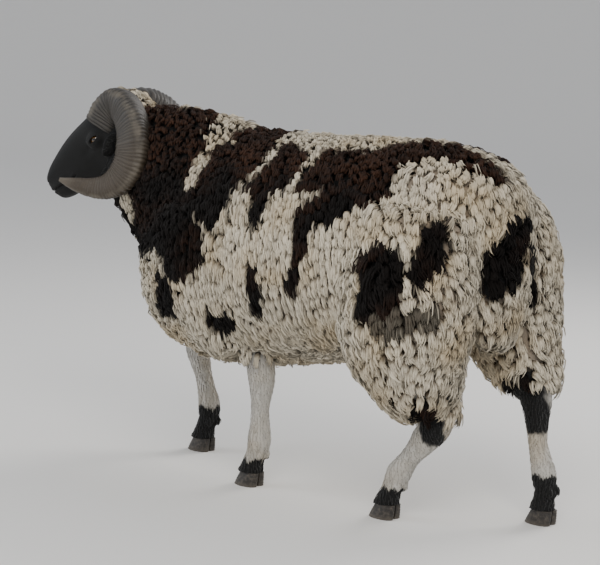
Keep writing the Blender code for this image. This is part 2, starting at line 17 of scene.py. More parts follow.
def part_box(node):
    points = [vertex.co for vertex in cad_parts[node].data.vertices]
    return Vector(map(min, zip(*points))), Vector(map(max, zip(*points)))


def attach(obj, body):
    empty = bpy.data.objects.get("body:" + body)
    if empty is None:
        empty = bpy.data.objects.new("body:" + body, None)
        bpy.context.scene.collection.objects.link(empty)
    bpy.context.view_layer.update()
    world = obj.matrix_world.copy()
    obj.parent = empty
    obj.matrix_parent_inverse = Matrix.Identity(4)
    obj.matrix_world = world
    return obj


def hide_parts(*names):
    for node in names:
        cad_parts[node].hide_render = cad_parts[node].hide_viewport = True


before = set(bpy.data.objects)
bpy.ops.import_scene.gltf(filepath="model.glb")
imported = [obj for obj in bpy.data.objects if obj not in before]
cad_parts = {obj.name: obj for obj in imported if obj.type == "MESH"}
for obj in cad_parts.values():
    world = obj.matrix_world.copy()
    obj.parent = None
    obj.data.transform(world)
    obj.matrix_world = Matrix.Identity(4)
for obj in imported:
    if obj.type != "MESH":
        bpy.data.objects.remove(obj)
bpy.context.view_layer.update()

bl_info = {
    "name": "Jacob ram",
    "version": (1, 0, 0),
    "blender": (4, 5, 0),
    "location": "3D View > Sidebar > Ram",
    "description": "Dresses the solids of a Jacob ram with skin, fleece, horns, eyes and hooves",
    "category": "Object",
}

SEED = 7

# Body under the wool: x, top, bottom, half width
TRUNK = [
    (-0.49, 0.6, 0.4, 0.08), (-0.445, 0.665, 0.325, 0.13), (-0.36, 0.706, 0.258, 0.172),
    (-0.22, 0.722, 0.26, 0.205), (-0.05, 0.724, 0.29, 0.22), (0.11, 0.732, 0.32, 0.22),
    (0.22, 0.738, 0.37, 0.198), (0.305, 0.714, 0.43, 0.152), (0.355, 0.642, 0.49, 0.088),
]

# Lengths of the body: x, y, z, half depth, half width
NECK = [
    (-0.3, 0.0, 0.545, 0.18, 0.15), (-0.4, -0.002, 0.58, 0.168, 0.135),
    (-0.475, -0.006, 0.605, 0.153, 0.112), (-0.54, -0.012, 0.618, 0.136, 0.09),
    (-0.592, -0.018, 0.616, 0.118, 0.072), (-0.63, -0.022, 0.598, 0.076, 0.052),
]
TAIL = [
    (0.29, 0.0, 0.662, 0.03, 0.04), (0.336, -0.01, 0.628, 0.034, 0.052),
    (0.362, -0.018, 0.54, 0.032, 0.06), (0.364, -0.02, 0.445, 0.028, 0.054),
    (0.358, -0.02, 0.372, 0.016, 0.03),
]
THIGHS = {
    "right": [
        (0.24, 0.115, 0.6, 0.112, 0.075), (0.262, 0.125, 0.5, 0.12, 0.088),
        (0.3, 0.13, 0.39, 0.092, 0.078), (0.35, 0.122, 0.3, 0.058, 0.052),
        (0.385, 0.108, 0.262, 0.04, 0.036),
    ],
    "left": [
        (0.235, -0.122, 0.6, 0.112, 0.082), (0.232, -0.14, 0.49, 0.128, 0.1),
        (0.24, -0.144, 0.375, 0.118, 0.094), (0.266, -0.132, 0.29, 0.078, 0.066),
        (0.284, -0.115, 0.242, 0.048, 0.042),
    ],
}
SHOULDERS = {
    "left": [
        (-0.29, -0.12, 0.56, 0.12, 0.075), (-0.275, -0.135, 0.45, 0.11, 0.074),
        (-0.24, -0.13, 0.36, 0.072, 0.056), (-0.2, -0.116, 0.3, 0.042, 0.038),
    ],
    "right": [
        (-0.35, 0.12, 0.56, 0.12, 0.075), (-0.375, 0.135, 0.45, 0.11, 0.074),
        (-0.41, 0.13, 0.36, 0.072, 0.056), (-0.44, 0.116, 0.3, 0.042, 0.038),
    ],
}
SHANKS = {
    "fore_left": [
        (-0.265, -0.135, 0.5, 0.075, 0.05), (-0.215, -0.125, 0.4, 0.056, 0.044),
        (-0.165, -0.108, 0.31, 0.031, 0.028), (-0.15, -0.1, 0.235, 0.028, 0.026),
        (-0.153, -0.096, 0.165, 0.018, 0.017), (-0.154, -0.093, 0.1, 0.024, 0.022),
        (-0.165, -0.091, 0.064, 0.019, 0.019), (-0.178, -0.09, 0.02, 0.027, 0.026),
    ],
    "fore_right": [
        (-0.35, 0.135, 0.5, 0.075, 0.05), (-0.43, 0.125, 0.4, 0.056, 0.044),
        (-0.484, 0.108, 0.305, 0.031, 0.028), (-0.498, 0.1, 0.232, 0.028, 0.026),
        (-0.474, 0.096, 0.165, 0.018, 0.017), (-0.452, 0.093, 0.102, 0.024, 0.022),
        (-0.456, 0.091, 0.064, 0.019, 0.019), (-0.467, 0.09, 0.02, 0.027, 0.026),
    ],
    "hind_left": [
        (0.245, -0.122, 0.42, 0.08, 0.05), (0.288, -0.115, 0.275, 0.04, 0.03),
        (0.294, -0.108, 0.212, 0.036, 0.024), (0.266, -0.104, 0.17, 0.027, 0.02),
        (0.236, -0.102, 0.132, 0.019, 0.018), (0.208, -0.1, 0.094, 0.024, 0.023),
        (0.194, -0.1, 0.062, 0.019, 0.019), (0.18, -0.1, 0.02, 0.027, 0.026),
    ],
    "hind_right": [
        (0.3, 0.122, 0.42, 0.075, 0.05), (0.362, 0.112, 0.31, 0.036, 0.03),
        (0.386, 0.106, 0.25, 0.034, 0.024), (0.394, 0.103, 0.205, 0.024, 0.02),
        (0.402, 0.101, 0.155, 0.018, 0.018), (0.42, 0.1, 0.098, 0.024, 0.023),
        (0.424, 0.1, 0.062, 0.019, 0.019), (0.42, 0.1, 0.02, 0.027, 0.026),
    ],
}
DEWCLAW_BACK = 0.02
DEWCLAW_SIDE = 0.013
DEWCLAW_UP = 0.006
DEWCLAW_SIZE = (0.008, 0.007, 0.011)
POUCH = (0.215, -0.004, 0.345)
POUCH_SIZE = (0.046, 0.04, 0.07)
CORONET = 0.03

# Claw: its outline on the ground (forward, out from the cleft), and how it narrows and leans back
CLAW_OUTLINE = [
    (0.034, 0.006), (0.03, 0.0125), (0.022, 0.019), (0.012, 0.0235), (0.0, 0.025),
    (-0.011, 0.024), (-0.02, 0.021), (-0.025, 0.0155), (-0.026, 0.009), (-0.022, 0.002),
    (-0.011, 0.0015), (0.0, 0.0015), (0.012, 0.0015), (0.024, 0.0015), (0.031, 0.0022),
]
CLAW_GAP = 0.0015
CLAW_NARROWING = 0.2
CLAW_LEAN = 0.008

# Head: its frame runs forward, to the right and up. Sections: forward, top, bottom, cheek, jaw
HEAD_ORIGIN = Vector((-0.632, -0.024, 0.752))
HEAD_YAW = math.radians(15.0)
HEAD_PITCH = math.radians(46.0)
HEAD = [
    (-0.035, 0.018, -0.082, 0.048, 0.04), (0.005, 0.036, -0.102, 0.058, 0.046),
    (0.045, 0.044, -0.11, 0.063, 0.046), (0.085, 0.046, -0.102, 0.06, 0.041),
    (0.125, 0.048, -0.084, 0.048, 0.033), (0.16, 0.046, -0.071, 0.038, 0.029),
    (0.195, 0.039, -0.06, 0.035, 0.028), (0.225, 0.03, -0.052, 0.034, 0.029),
    (0.245, 0.016, -0.044, 0.027, 0.024), (0.252, 0.002, -0.034, 0.014, 0.012),
]
EYE_PLACE = Vector((0.079, 0.045, -0.016))
EYE_RADIUS = 0.0145
EYE_ROOM = 0.0002
IRIS_SHARE = 0.66
PUPIL_SHARES = (0.62, 0.24)
CORNEA_RISE = 0.07
EYE_LEVEL = 0.75
LID = (0.025, 0.0192, 0.021)
BROW = (0.03, 0.014, 0.011)
BROW_AWAY = (-0.004, -0.006, 0.016)
LID_OPENING = (0.012, 0.012, 0.005)
NOSTRIL = (0.244, 0.018, 0.005)
NOSTRIL_SIZE = (0.01, 0.0045, 0.0065)
NOSTRIL_TAIL_AWAY = (-0.003, 0.006, -0.003)
NOSTRIL_TAIL_SIZE = (0.009, 0.004, 0.0022)
MOUTH_FRONT = (0.246, -0.02)
MOUTH_CORNER = (0.178, -0.034)
MOUTH_DIP = 0.0015
MOUTH_DEPTH = 0.0042
MOUTH_WIDTH = 0.0013
LIP_SWELL = 0.0013
LIP_AWAY = 0.0052
LIP_WIDTH = 0.0026

# Swells and hollows on each side of the face, then on its middle: place, reach, height
CHEEK_FORMS = [
    ((0.045, 0.062, -0.058), (0.03, 0.03, 0.026), 0.004),
    ((0.118, 0.048, -0.052), (0.022, 0.03, 0.016), -0.0028),
    ((0.112, 0.044, -0.018), (0.014, 0.016, 0.006), -0.0026),
    ((0.135, 0.036, 0.022), (0.034, 0.018, 0.01), 0.0016),
    ((0.236, 0.026, 0.009), (0.011, 0.008, 0.008), 0.003),
    ((0.222, 0.03, -0.016), (0.022, 0.014, 0.007), 0.0022),
    ((0.205, 0.028, -0.042), (0.03, 0.018, 0.009), 0.0016),
    ((0.178, 0.032, -0.03), (0.008, 0.014, 0.01), 0.0016),
]
MIDDLE_FORMS = [
    ((0.252, 0.0, -0.006), (0.012, 0.0028, 0.014), -0.0022),
    ((0.225, 0.0, -0.056), (0.018, 0.016, 0.01), 0.0016),
]

# Horn: forward, up, out from the midline, half depth, half width
HORN_TURN = [
    (0.034, -0.034, 0.04, 0.038, 0.032), (0.014, -0.002, 0.043, 0.039, 0.033),
    (-0.014, 0.013, 0.053, 0.038, 0.033), (-0.046, 0.001, 0.075, 0.038, 0.033),
    (-0.074, -0.034, 0.097, 0.039, 0.032), (-0.088, -0.078, 0.115, 0.04, 0.032),
    (-0.085, -0.112, 0.124, 0.038, 0.03), (-0.066, -0.144, 0.13, 0.034, 0.027),
    (-0.034, -0.163, 0.133, 0.027, 0.022), (0.002, -0.166, 0.138, 0.021, 0.017),
    (0.036, -0.16, 0.147, 0.0145, 0.012), (0.067, -0.151, 0.16, 0.004, 0.004),
]
HORN_RINGS = 420
HORN_SIDES = 32
KEEL_ANGLE = math.radians(50.0)
KEEL_RISE = 0.1
KEEL_WIDTH = 0.13
RIB_HEIGHT = 0.055
RIB_FADE = 0.3
RIB_SPREAD = 0.25
HORN_MIDDLE = Vector((-0.015, 0.0, -0.09))

EAR_ROOT = Vector((-0.01, 0.047, -0.056))
EAR_ALONG = Vector((-0.08, 0.88, -0.42))
EAR_OPENING = Vector((0.85, 0.2, -0.25))
EAR_LENGTH = 0.088
EAR_WIDTH = 0.042
EAR_THICKNESS = 0.0045
EAR_GRAIN = 0.0012
# Along the ear from root to tip: share of its length, of its width and of its cup's depth
EAR_ROWS = [(0.0, 0.4, 1.0), (0.25, 0.8, 0.85), (0.55, 1.0, 0.55), (0.8, 0.72, 0.34), (1.0, 0.16, 0.1)]

# Patches of the coat in the frame's own places, painted in this order:
# shade (1 black, 0 cream), then a chain of x, y, z and radius
PATCHES = [
    (1.0, [(-0.46, -0.03, 0.66, 0.11), (-0.34, 0.0, 0.62, 0.16), (-0.26, 0.0, 0.6, 0.175),
           (-0.2, 0.0, 0.55, 0.185)]),
    (1.0, [(-0.22, -0.15, 0.6, 0.085), (-0.155, -0.19, 0.555, 0.085), (-0.105, -0.215, 0.495, 0.065)]),
    (1.0, [(-0.24, 0.15, 0.6, 0.085), (-0.18, 0.19, 0.53, 0.08)]),
    (1.0, [(-0.035, 0.1, 0.69, 0.06), (-0.065, 0.0, 0.73, 0.07), (-0.025, -0.04, 0.73, 0.05)]),
    (1.0, [(-0.13, -0.13, 0.66, 0.06), (-0.03, -0.12, 0.675, 0.078), (0.05, -0.125, 0.668, 0.074),
           (0.13, -0.135, 0.672, 0.062), (0.2, -0.135, 0.682, 0.06), (0.3, -0.12, 0.7, 0.055),
           (0.341, -0.16, 0.65, 0.046)]),
    (1.0, [(-0.1, -0.18, 0.6, 0.055), (-0.03, -0.185, 0.585, 0.045), (0.0, -0.19, 0.552, 0.022)]),
    (0.0, [(-0.115, 0.02, 0.745, 0.012), (-0.13, -0.044, 0.733, 0.014), (-0.134, -0.094, 0.685, 0.015),
           (-0.136, -0.15, 0.625, 0.018)]),
    (0.0, [(-0.092, -0.13, 0.642, 0.011)]),
    (0.0, [(0.03, 0.03, 0.735, 0.012), (0.024, -0.035, 0.726, 0.01), (0.051, -0.138, 0.675, 0.011),
           (0.014, -0.16, 0.624, 0.013), (-0.002, -0.194, 0.553, 0.018)]),
    (1.0, [(0.072, -0.131, 0.663, 0.03), (0.082, -0.18, 0.622, 0.026), (0.088, -0.205, 0.581, 0.019),
           (0.087, -0.202, 0.547, 0.011)]),
    (1.0, [(0.286, -0.158, 0.671, 0.054), (0.264, -0.19, 0.625, 0.046), (0.218, -0.205, 0.585, 0.032),
           (0.216, -0.223, 0.546, 0.022), (0.212, -0.229, 0.497, 0.017), (0.197, -0.226, 0.446, 0.012)]),
    (0.0, [(0.101, -0.017, 0.733, 0.016), (0.15, -0.11, 0.703, 0.012), (0.155, -0.142, 0.682, 0.011),
           (0.15, -0.168, 0.645, 0.011), (0.146, -0.19, 0.6, 0.013)]),
    (1.0, [(0.098, -0.215, 0.487, 0.016), (0.106, -0.222, 0.44, 0.02), (0.099, -0.207, 0.39, 0.016)]),
    (1.0, [(0.33, -0.08, 0.725, 0.045), (0.4, -0.03, 0.73, 0.04), (0.48, -0.03, 0.712, 0.034),
           (0.521, -0.02, 0.69, 0.028), (0.54, 0.008, 0.668, 0.017)]),
    (1.0, [(0.41, 0.05, 0.725, 0.036), (0.47, 0.06, 0.705, 0.03)]),
    (1.0, [(0.421, -0.241, 0.516, 0.051), (0.428, -0.249, 0.457, 0.05), (0.436, -0.24, 0.409, 0.036)]),
    (0.85, [(0.43, -0.242, 0.408, 0.023), (0.472, -0.235, 0.416, 0.024), (0.526, -0.2, 0.426, 0.022)]),
    (1.0, [(0.51, -0.171, 0.601, 0.022), (0.511, -0.199, 0.558, 0.03), (0.502, -0.216, 0.515, 0.026),
           (0.498, -0.222, 0.487, 0.013)]),
    (1.0, [(0.56, 0.024, 0.604, 0.023), (0.576, -0.03, 0.56, 0.042), (0.58, -0.046, 0.532, 0.05),
           (0.568, -0.062, 0.487, 0.034)]),
    (1.0, [(0.58, 0.05, 0.54, 0.034), (0.56, 0.074, 0.48, 0.02), (0.556, 0.09, 0.445, 0.012)]),
    (1.0, [(-0.16, -0.188, 0.405, 0.044), (-0.165, -0.17, 0.372, 0.042), (-0.215, -0.08, 0.37, 0.036)]),
    (0.0, [(-0.158, -0.189, 0.45, 0.019)]),
    (0.0, [(-0.084, -0.2, 0.368, 0.015)]),
    (1.0, [(-0.024, -0.178, 0.349, 0.024), (0.017, -0.188, 0.358, 0.022)]),
    (0.0, [(-0.375, -0.085, 0.575, 0.02), (-0.35, -0.095, 0.545, 0.022), (-0.345, -0.04, 0.535, 0.03)]),
    (0.0, [(-0.48, -0.025, 0.79, 0.04), (-0.43, -0.01, 0.79, 0.04), (-0.405, 0.03, 0.775, 0.026)]),
    (1.0, [(0.04, 0.15, 0.69, 0.05), (0.09, 0.2, 0.6, 0.06), (0.11, 0.225, 0.52, 0.05)]),
    (1.0, [(0.26, 0.18, 0.64, 0.055), (0.3, 0.21, 0.56, 0.05), (0.32, 0.2, 0.48, 0.035)]),
    (1.0, [(0.47, 0.22, 0.47, 0.05), (0.5, 0.2, 0.4, 0.035)]),
    (1.0, [(-0.15, 0.2, 0.4, 0.045)]),
    (1.0, [(0.47, -0.145, 0.25, 0.036), (0.474, -0.105, 0.19, 0.026)]),
    (1.0, [(0.55, 0.1, 0.275, 0.042), (0.578, 0.1, 0.205, 0.03)]),
    (0.0, [(0.535, 0.085, 0.215, 0.016)]),
]
PATCH_EDGE = 0.006
PATCH_WANDER = 0.01
PATCH_WANDER_SIZE = 0.035
SMALL_PATCH = 0.035
SHORT_HAIR_WANDER = 0.6

# How far below the head's own line the throat's wool begins
THROAT = -0.118

# Height at which each black foot ends, how far round the leg it reaches, and how its edge wavers
FOOT_TOPS = {"fore_left": 0.06, "fore_right": 0.105, "hind_left": 0.062, "hind_right": 0.1}
FOOT_REACH = 0.09
FOOT_WAVER = 0.006

# Blaze down the face: its half width, how its edge wavers and how soft it is, and where it ends
BLAZE_HALF = 0.017
BLAZE_WAVER = 0.0016
HAIR_EDGE = 0.004
BLAZE_END = 0.232

# Heights where the wool ends on the left hind leg and on the others, and half the width of the belly
HOCK_WOOL = 0.235
LEG_WOOL = 0.285
BELLY_HALF = 0.045

# The wool's tongue over the poll between the horns, in the head's own frame
POLL_END = 0.038
POLL_HALF = 0.03

# Height below which the legs may be bare, and how light the skin is under the wool, where it takes the
# coat's painted shade of the roots
LEG_TOP = 0.3
UNDER_WOOL = 0.3

# Places tried for staples and for tufts of hair, and the most triangles in one piece of the fleece
STAPLE_SPOTS = 120000
HAIR_SPOTS = 30000
PIECE_LIMIT = 180000

# Strands and the cores of staples: how far strands stray in the staple's radii, how many rings a lock
# has, its girth from root to tip, and shares of the staple's radius
STRAY = 0.4
STRAND_RINGS = 4
STRAND_SHAPE = np.array([[1.0, 1.0, 0.8, 0.0]])
CORE_RINGS = 5
CORE_SHAPE = np.array([[1.0, 1.05, 0.95, 0.65, 0.0]])
CORE_WIDTH = 0.78
CORE_DEPTH = 0.62
STRAND_GIRTHS = (0.13, 0.27)
USUAL_STRANDS = 12

# Triangles in a core of four sides and in a strand of three
CORE_FACES = 30
STRAND_FACES = 16

# Steps of a staple's path over the skin, where it stands highest, and the place its markings are read at
PATH_STEPS = 6
CREST = 0.6
STAPLE_MIDDLE = 0.55

# How much closer the staples stand at the chest
CHEST_CLOSER = 0.14

# Upright columns of staples on the flank: their distance, lean and waver
COLUMN_PITCH = 0.013
COLUMN_LEAN = 0.1
COLUMN_WAVER = 0.008

# Tufts of short hair: spacing, length, height and width, and how a tuft stands off the skin along itself
LEG_TUFTS = (0.0058, 0.014, 0.0016, 0.003)
FACE_TUFTS = (0.0042, 0.011, 0.0012, 0.0018)
HAIR_STAND = np.array([-0.35, 0.6, 0.95, 0.75])

# Span of one lock's patch on the bake map
BAKE_SPAN = 0.003

# Pieces of the fleece: name, strands in a staple, and the line its map is wound round
REGIONS = [
    ("fleece_shoulder", 12, (0, 0, 0.5), (1, 0, 0), (0, 0, -1)),
    ("fleece_right", 12, (0, 0, 0.5), (1, 0, 0), (0, 0, -1)),
    ("fleece_flank", 12, (0, 0, 0.5), (1, 0, 0), (0, 0, -1)),
    ("fleece_haunch_left", 14, (0.4, -0.1, 0.5), (0, 0, 1), (0, 1, 0)),
    ("fleece_haunch_right", 14, (0.4, 0.1, 0.5), (0, 0, 1), (0, -1, 0)),
    ("fleece_tail", 16, (0.5, -0.01, 0.5), (0, 0, 1), (-1, 0, 0)),
    ("fleece_neck", 8, (-0.2, 0, 0.6), (1, 0, 0.1), (0, 0, -1)),
]
NECK_END = -0.16
SHOULDER_END = 0.06
HAUNCH_START = 0.3
TAIL_START = 0.5
TAIL_MIDDLE = -0.01
TAIL_HALF = 0.075

# Where the rings of a strand and of a staple's core lie along the staple
STEPS = {
    STRAND_RINGS: np.array([0.3, 0.62, 0.86, 1.0]),
    CORE_RINGS: np.array([0.0, 0.25, 0.5, 0.72, 0.88]),
}

# Colours that only tint or edge those of the panel
AGED_WOOL = (0.86, 0.78, 0.66)
HORN_WARM = (0.055, 0.037, 0.019)
HORN_KEEL = (0.15, 0.13, 0.1)
HORN_TIP = (0.11, 0.093, 0.072)
HORN_DUST = (0.115, 0.1, 0.082)
IRIS_RIM = (0.01, 0.007, 0.005)
PUPIL = (0.002, 0.002, 0.003)
EYE_WHITE = (0.09, 0.05, 0.035)
HOOF_WORN = (0.085, 0.072, 0.058)
HOOF_DUST = (0.11, 0.092, 0.072)

# How far the shading of a lock is drawn towards that of the skin below it
LAY_SHARE = 0.68

# Studio floor: radius of its flat part, and of the curve beyond it
FLOOR_RADIUS = 9.0
FLOOR_CURVE = 3.5

# Camera of the photo's view
CAMERA_AZIMUTH = math.radians(36.5)
CAMERA_HEIGHT = math.radians(8.0)
CAMERA_ROLL = math.radians(3.0)
CAMERA_DISTANCE = 4.2
CAMERA_LENS = 123.0
CAMERA_TARGET = Vector((0.179, 0.01, 0.4))
CAMERA_SHIFT = (-0.0883, 0.0333)
SENSOR_WIDTH = 36.0

# Lights: name, place, size, power, colour. All face the middle of the ram
LIGHTS = [
    ("key", (2.2, -2.6, 3.0), 2.2, 100.0, (1.0, 0.96, 0.9)),
    ("fill", (-2.6, -2.2, 1.6), 2.5, 38.0, (0.92, 0.96, 1.0)),
    ("rim", (0.6, 2.8, 2.6), 1.6, 70.0, (1.0, 0.97, 0.93)),
]
LIGHT_TARGET = Vector((0.0, 0.0, 0.4))
SKY_COLOUR = (0.82, 0.84, 0.88, 1.0)
SKY_STRENGTH = 0.75


def length_prop(name, description, default):
    return FloatProperty(name=name, description=description, default=default, unit="LENGTH")


def colour_prop(name, description, default):
    return FloatVectorProperty(
        name=name, description=description, default=default, size=3, subtype="COLOR", min=0.0, max=1.0)


class RamSizes(PropertyGroup):
    """Sizes of the skin and the coat."""

    body_grain: length_prop("Body grain", "Length of the skin's faces under the wool", 0.0093)
    leg_grain: length_prop("Leg grain", "Length of the skin's faces on the shanks", 0.0036)
    head_grain: length_prop("Head grain", "Length of the skin's faces on the head", 0.0019)
    coat_depth: length_prop("Coat depth", "How far the wool stands above the skin", 0.021)
    staple_spacing: length_prop(
        "Staple spacing", "Distance between neighbouring staples of wool", 0.012)
    staple_length: length_prop("Staple length", "Length of a staple of wool on the flank", 0.024)
    staple_width: length_prop("Staple width", "Width of a staple of wool on the flank", 0.014)
    rib_pitch: length_prop("Rib pitch", "Distance between the ribs of a horn near its base", 0.0088)


class RamColours(PropertyGroup):
    """Colours of the coat, horns, eyes and hooves."""

    cream: colour_prop("Cream wool", "Outer colour of the light wool", (0.7, 0.63, 0.5))
    # The cream root colour is painted shade, not the wool's own colour: the dark the light wool gets
    # deep between its locks.
    cream_root_shade: colour_prop("Cream root", "Colour deep in the light wool", (0.14, 0.105, 0.07))
    black: colour_prop("Dark wool", "Colour of the dark wool", (0.0085, 0.007, 0.0065))
    rust: colour_prop(
        "Bleached tips", "Colour of the dark wool where the sun has bleached it", (0.07, 0.031, 0.017))
    white_hair: colour_prop(
        "White hair", "Colour of the short hair of the legs and blaze", (0.5, 0.48, 0.44))
    black_hair: colour_prop(
        "Black hair", "Colour of the short hair of the face and feet", (0.0045, 0.0045, 0.0045))
    horn: colour_prop("Horn", "Colour of the horn's outer wall", (0.034, 0.03, 0.026))
    horn_groove: colour_prop("Horn grooves", "Colour between the horn's ribs", (0.01, 0.0085, 0.0075))
    iris: colour_prop("Iris", "Colour of the iris", (0.13, 0.06, 0.012))
    hoof: colour_prop("Hoof", "Colour of the hoof wall", (0.022, 0.019, 0.017))
    floor: colour_prop("Floor", "Colour of the studio floor", (0.8, 0.79, 0.77))


def head_matrix():
    forward = Vector((
        -math.cos(HEAD_PITCH) * math.cos(HEAD_YAW),
        -math.cos(HEAD_PITCH) * math.sin(HEAD_YAW),
        -math.sin(HEAD_PITCH),
    ))
    right = Vector((-math.sin(HEAD_YAW), math.cos(HEAD_YAW), 0))
    up = right.cross(forward)
    turn = Matrix((forward, right, up)).transposed()
    return Matrix.Translation(HEAD_ORIGIN) @ turn.to_4x4()


def bearing_matrix():
    """The head's place and yaw without its pitch, in which the horns and ears are set out."""
    forward = Vector((-math.cos(HEAD_YAW), -math.sin(HEAD_YAW), 0))
    right = Vector((-math.sin(HEAD_YAW), math.cos(HEAD_YAW), 0))
    turn = Matrix((forward, right, Vector((0, 0, 1)))).transposed()
    return Matrix.Translation(HEAD_ORIGIN) @ turn.to_4x4()


def frame_shift():
    """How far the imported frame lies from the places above, read from the left eye."""
    low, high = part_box("eye_left")
    place = head_matrix() @ Vector((EYE_PLACE.x, -EYE_PLACE.y, EYE_PLACE.z))
    return Matrix.Translation((low + high) / 2 - place)


SHIFT = frame_shift()
HEAD_TO_WORLD = SHIFT @ head_matrix()
BEARING_TO_WORLD = SHIFT @ bearing_matrix()


def link(name, data):
    obj = bpy.data.objects.new(name, data)
    bpy.context.scene.collection.objects.link(obj)
    return obj


def mesh_from(name, verts, faces):
    mesh = bpy.data.meshes.new(name)
    mesh.from_pydata([tuple(v) for v in verts], [], [tuple(f) for f in faces])
    return link(name, mesh)


def outward(obj):
    """Turns the faces of a closed mesh outwards."""
    bm = bmesh.new()
    bm.from_mesh(obj.data)
    bmesh.ops.recalc_face_normals(bm, faces=bm.faces)
    bm.to_mesh(obj.data)
    bm.free()
    return obj


def applied(obj):
    """The object with its modifiers made part of its mesh."""
    graph = bpy.context.evaluated_depsgraph_get()
    mesh = bpy.data.meshes.new_from_object(obj.evaluated_get(graph))
    obj.modifiers.clear()
    obj.data = mesh
    return obj


def points_of(mesh):
    points = np.empty(len(mesh.vertices) * 3)
    mesh.vertices.foreach_get("co", points)
    return points.reshape(-1, 3)


def normals_of(mesh):
    normals = np.empty(len(mesh.vertices) * 3, np.float32)
    mesh.vertex_normals.foreach_get("vector", normals)
    return normals.reshape(-1, 3).astype(float)


def set_points(mesh, points):
    mesh.vertices.foreach_set("co", np.asarray(points, np.float32).ravel())
    mesh.update()


def unit(vectors):
    return vectors / np.maximum(np.linalg.norm(vectors, axis=-1, keepdims=True), 1e-9)


def between(rows, count):
    """The rows joined by a smooth Catmull-Rom curve, read at an even count of places."""
    rows = np.asarray(rows, float)
    last = len(rows) - 1
    places = np.linspace(0, last, count)
    k = np.minimum(places.astype(int), last - 1)
    t = (places - k)[:, None]
    p, q = rows[np.maximum(k - 1, 0)], rows[k]
    r, s = rows[k + 1], rows[np.minimum(k + 2, last)]
    return 0.5 * (2 * q + (r - p) * t + (2 * p - 5 * q + 4 * r - s) * t ** 2
                  + (3 * q - p - 3 * r + s) * t ** 3)


def loft(name, rings):
    """A closed skin over rings of equal count."""
    rings = np.asarray(rings, float)
    count, sides = rings.shape[:2]
    verts = [*rings.reshape(-1, 3), rings[0].mean(0), rings[-1].mean(0)]
    faces = []
    for i in range(count - 1):
        for j in range(sides):
            k = (j + 1) % sides
            faces.append((i * sides + j, i * sides + k, (i + 1) * sides + k, (i + 1) * sides + j))
    tip = (count - 1) * sides
    for j in range(sides):
        k = (j + 1) % sides
        faces.append((k, j, count * sides))
        faces.append((tip + j, tip + k, count * sides + 1))
    return outward(mesh_from(name, verts, faces))


def limb(name, stations, sides, rings, egg=0.0):
    """A body length over stations of x, y, z, half depth and half width, square to its own line."""
    rows = between(stations, rings)
    ahead = unit(np.gradient(rows[:, :3], axis=0))
    side = unit(np.array([0.0, 1.0, 0.0]) - ahead * ahead[:, 1:2])
    deep = np.cross(ahead, side)
    angle = 2 * math.pi * (np.arange(sides) + 0.5) / sides
    c, s = np.cos(angle)[None, :, None], np.sin(angle)[None, :, None]
    width = rows[:, 4, None, None] * (1 - egg * s)
    made = rows[:, None, :3] + side[:, None] * width * c + deep[:, None] * rows[:, 3, None, None] * s
    obj = loft(name, made)
    obj.data.transform(SHIFT)
    return obj


def ball(name, centre, radii, segments=24, rings=16):
    bm = bmesh.new()
    bmesh.ops.create_uvsphere(bm, u_segments=segments, v_segments=rings, radius=1.0)
    bmesh.ops.scale(bm, vec=Vector(radii), verts=bm.verts)
    bmesh.ops.translate(bm, vec=Vector(centre), verts=bm.verts)
    mesh = bpy.data.meshes.new(name)
    bm.to_mesh(mesh)
    bm.free()
    return link(name, mesh)


def joined(name, objects):
    """One object from several, which are removed."""
    bm = bmesh.new()
    for obj in objects:
        bm.from_mesh(obj.data)
        bpy.data.objects.remove(obj)
    mesh = bpy.data.meshes.new(name)
    bm.to_mesh(mesh)
    bm.free()
    return link(name, mesh)


def fused(obj, grain, rounds):
    """Closes overlapping shapes into one smooth surface of faces about grain long."""
    remesh = obj.modifiers.new("fuse", "REMESH")
    remesh.mode = "VOXEL"
    remesh.voxel_size = grain
    smooth = obj.modifiers.new("smooth", "SMOOTH")
    smooth.factor = 0.5
    smooth.iterations = rounds
    return applied(obj)


def boolean(base, operation, others):
    """Base joined with or cut by the others, which are removed."""
    held = bpy.data.collections.new("operands")
    bpy.context.scene.collection.children.link(held)
    for other in others:
        bpy.context.scene.collection.objects.unlink(other)
        held.objects.link(other)
    modifier = base.modifiers.new("join", "BOOLEAN")
    modifier.operation = operation
    modifier.operand_type = "COLLECTION"
    modifier.collection = held
    modifier.solver = "MANIFOLD"
    bpy.context.view_layer.update()
    applied(base)
    for other in others:
        bpy.data.objects.remove(other)
    bpy.data.collections.remove(held)
    return base


def wander(points, size, seed=0.0):
    """Smooth noise between about -1 and 1 from a few crossed waves."""
    p = np.asarray(points, float) / size + seed
    x, y, z = p.T
    return (
        np.sin(2.1 * x + 1.3 * np.sin(1.7 * y + 0.4) + 0.9 * np.sin(2.3 * z))
        + np.sin(2.7 * y + 1.1 * np.sin(2.2 * z + 1.9) + 1.2 * np.sin(1.4 * x + 2.0))
        + np.sin(2.4 * z + 1.4 * np.sin(1.9 * x + 0.7) + 1.0 * np.sin(2.6 * y + 3.1))
    ) / 2.2


def chain_distance(points, chain):
    """How far inside (below 0) or outside a chain of tapering capsules each point lies."""
    best = np.full(len(points), np.inf)
    rows = np.asarray(chain, float)
    if len(rows) == 1:
        rows = np.vstack([rows, rows])
    for a, b in zip(rows[:-1], rows[1:]):
        span = b[:3] - a[:3]
        share = np.clip(((points - a[:3]) @ span) / max(span @ span, 1e-9), 0, 1)
        near = a[:3] + share[:, None] * span
        radius = a[3] + (b[3] - a[3]) * share
        best = np.minimum(best, np.linalg.norm(points - near, axis=1) - radius)
    return best


def head_places(points):
    """The points in the head's own frame."""
    inverse = np.array(HEAD_TO_WORLD.inverted())
    return np.asarray(points) @ inverse[:3, :3].T + inverse[:3, 3]


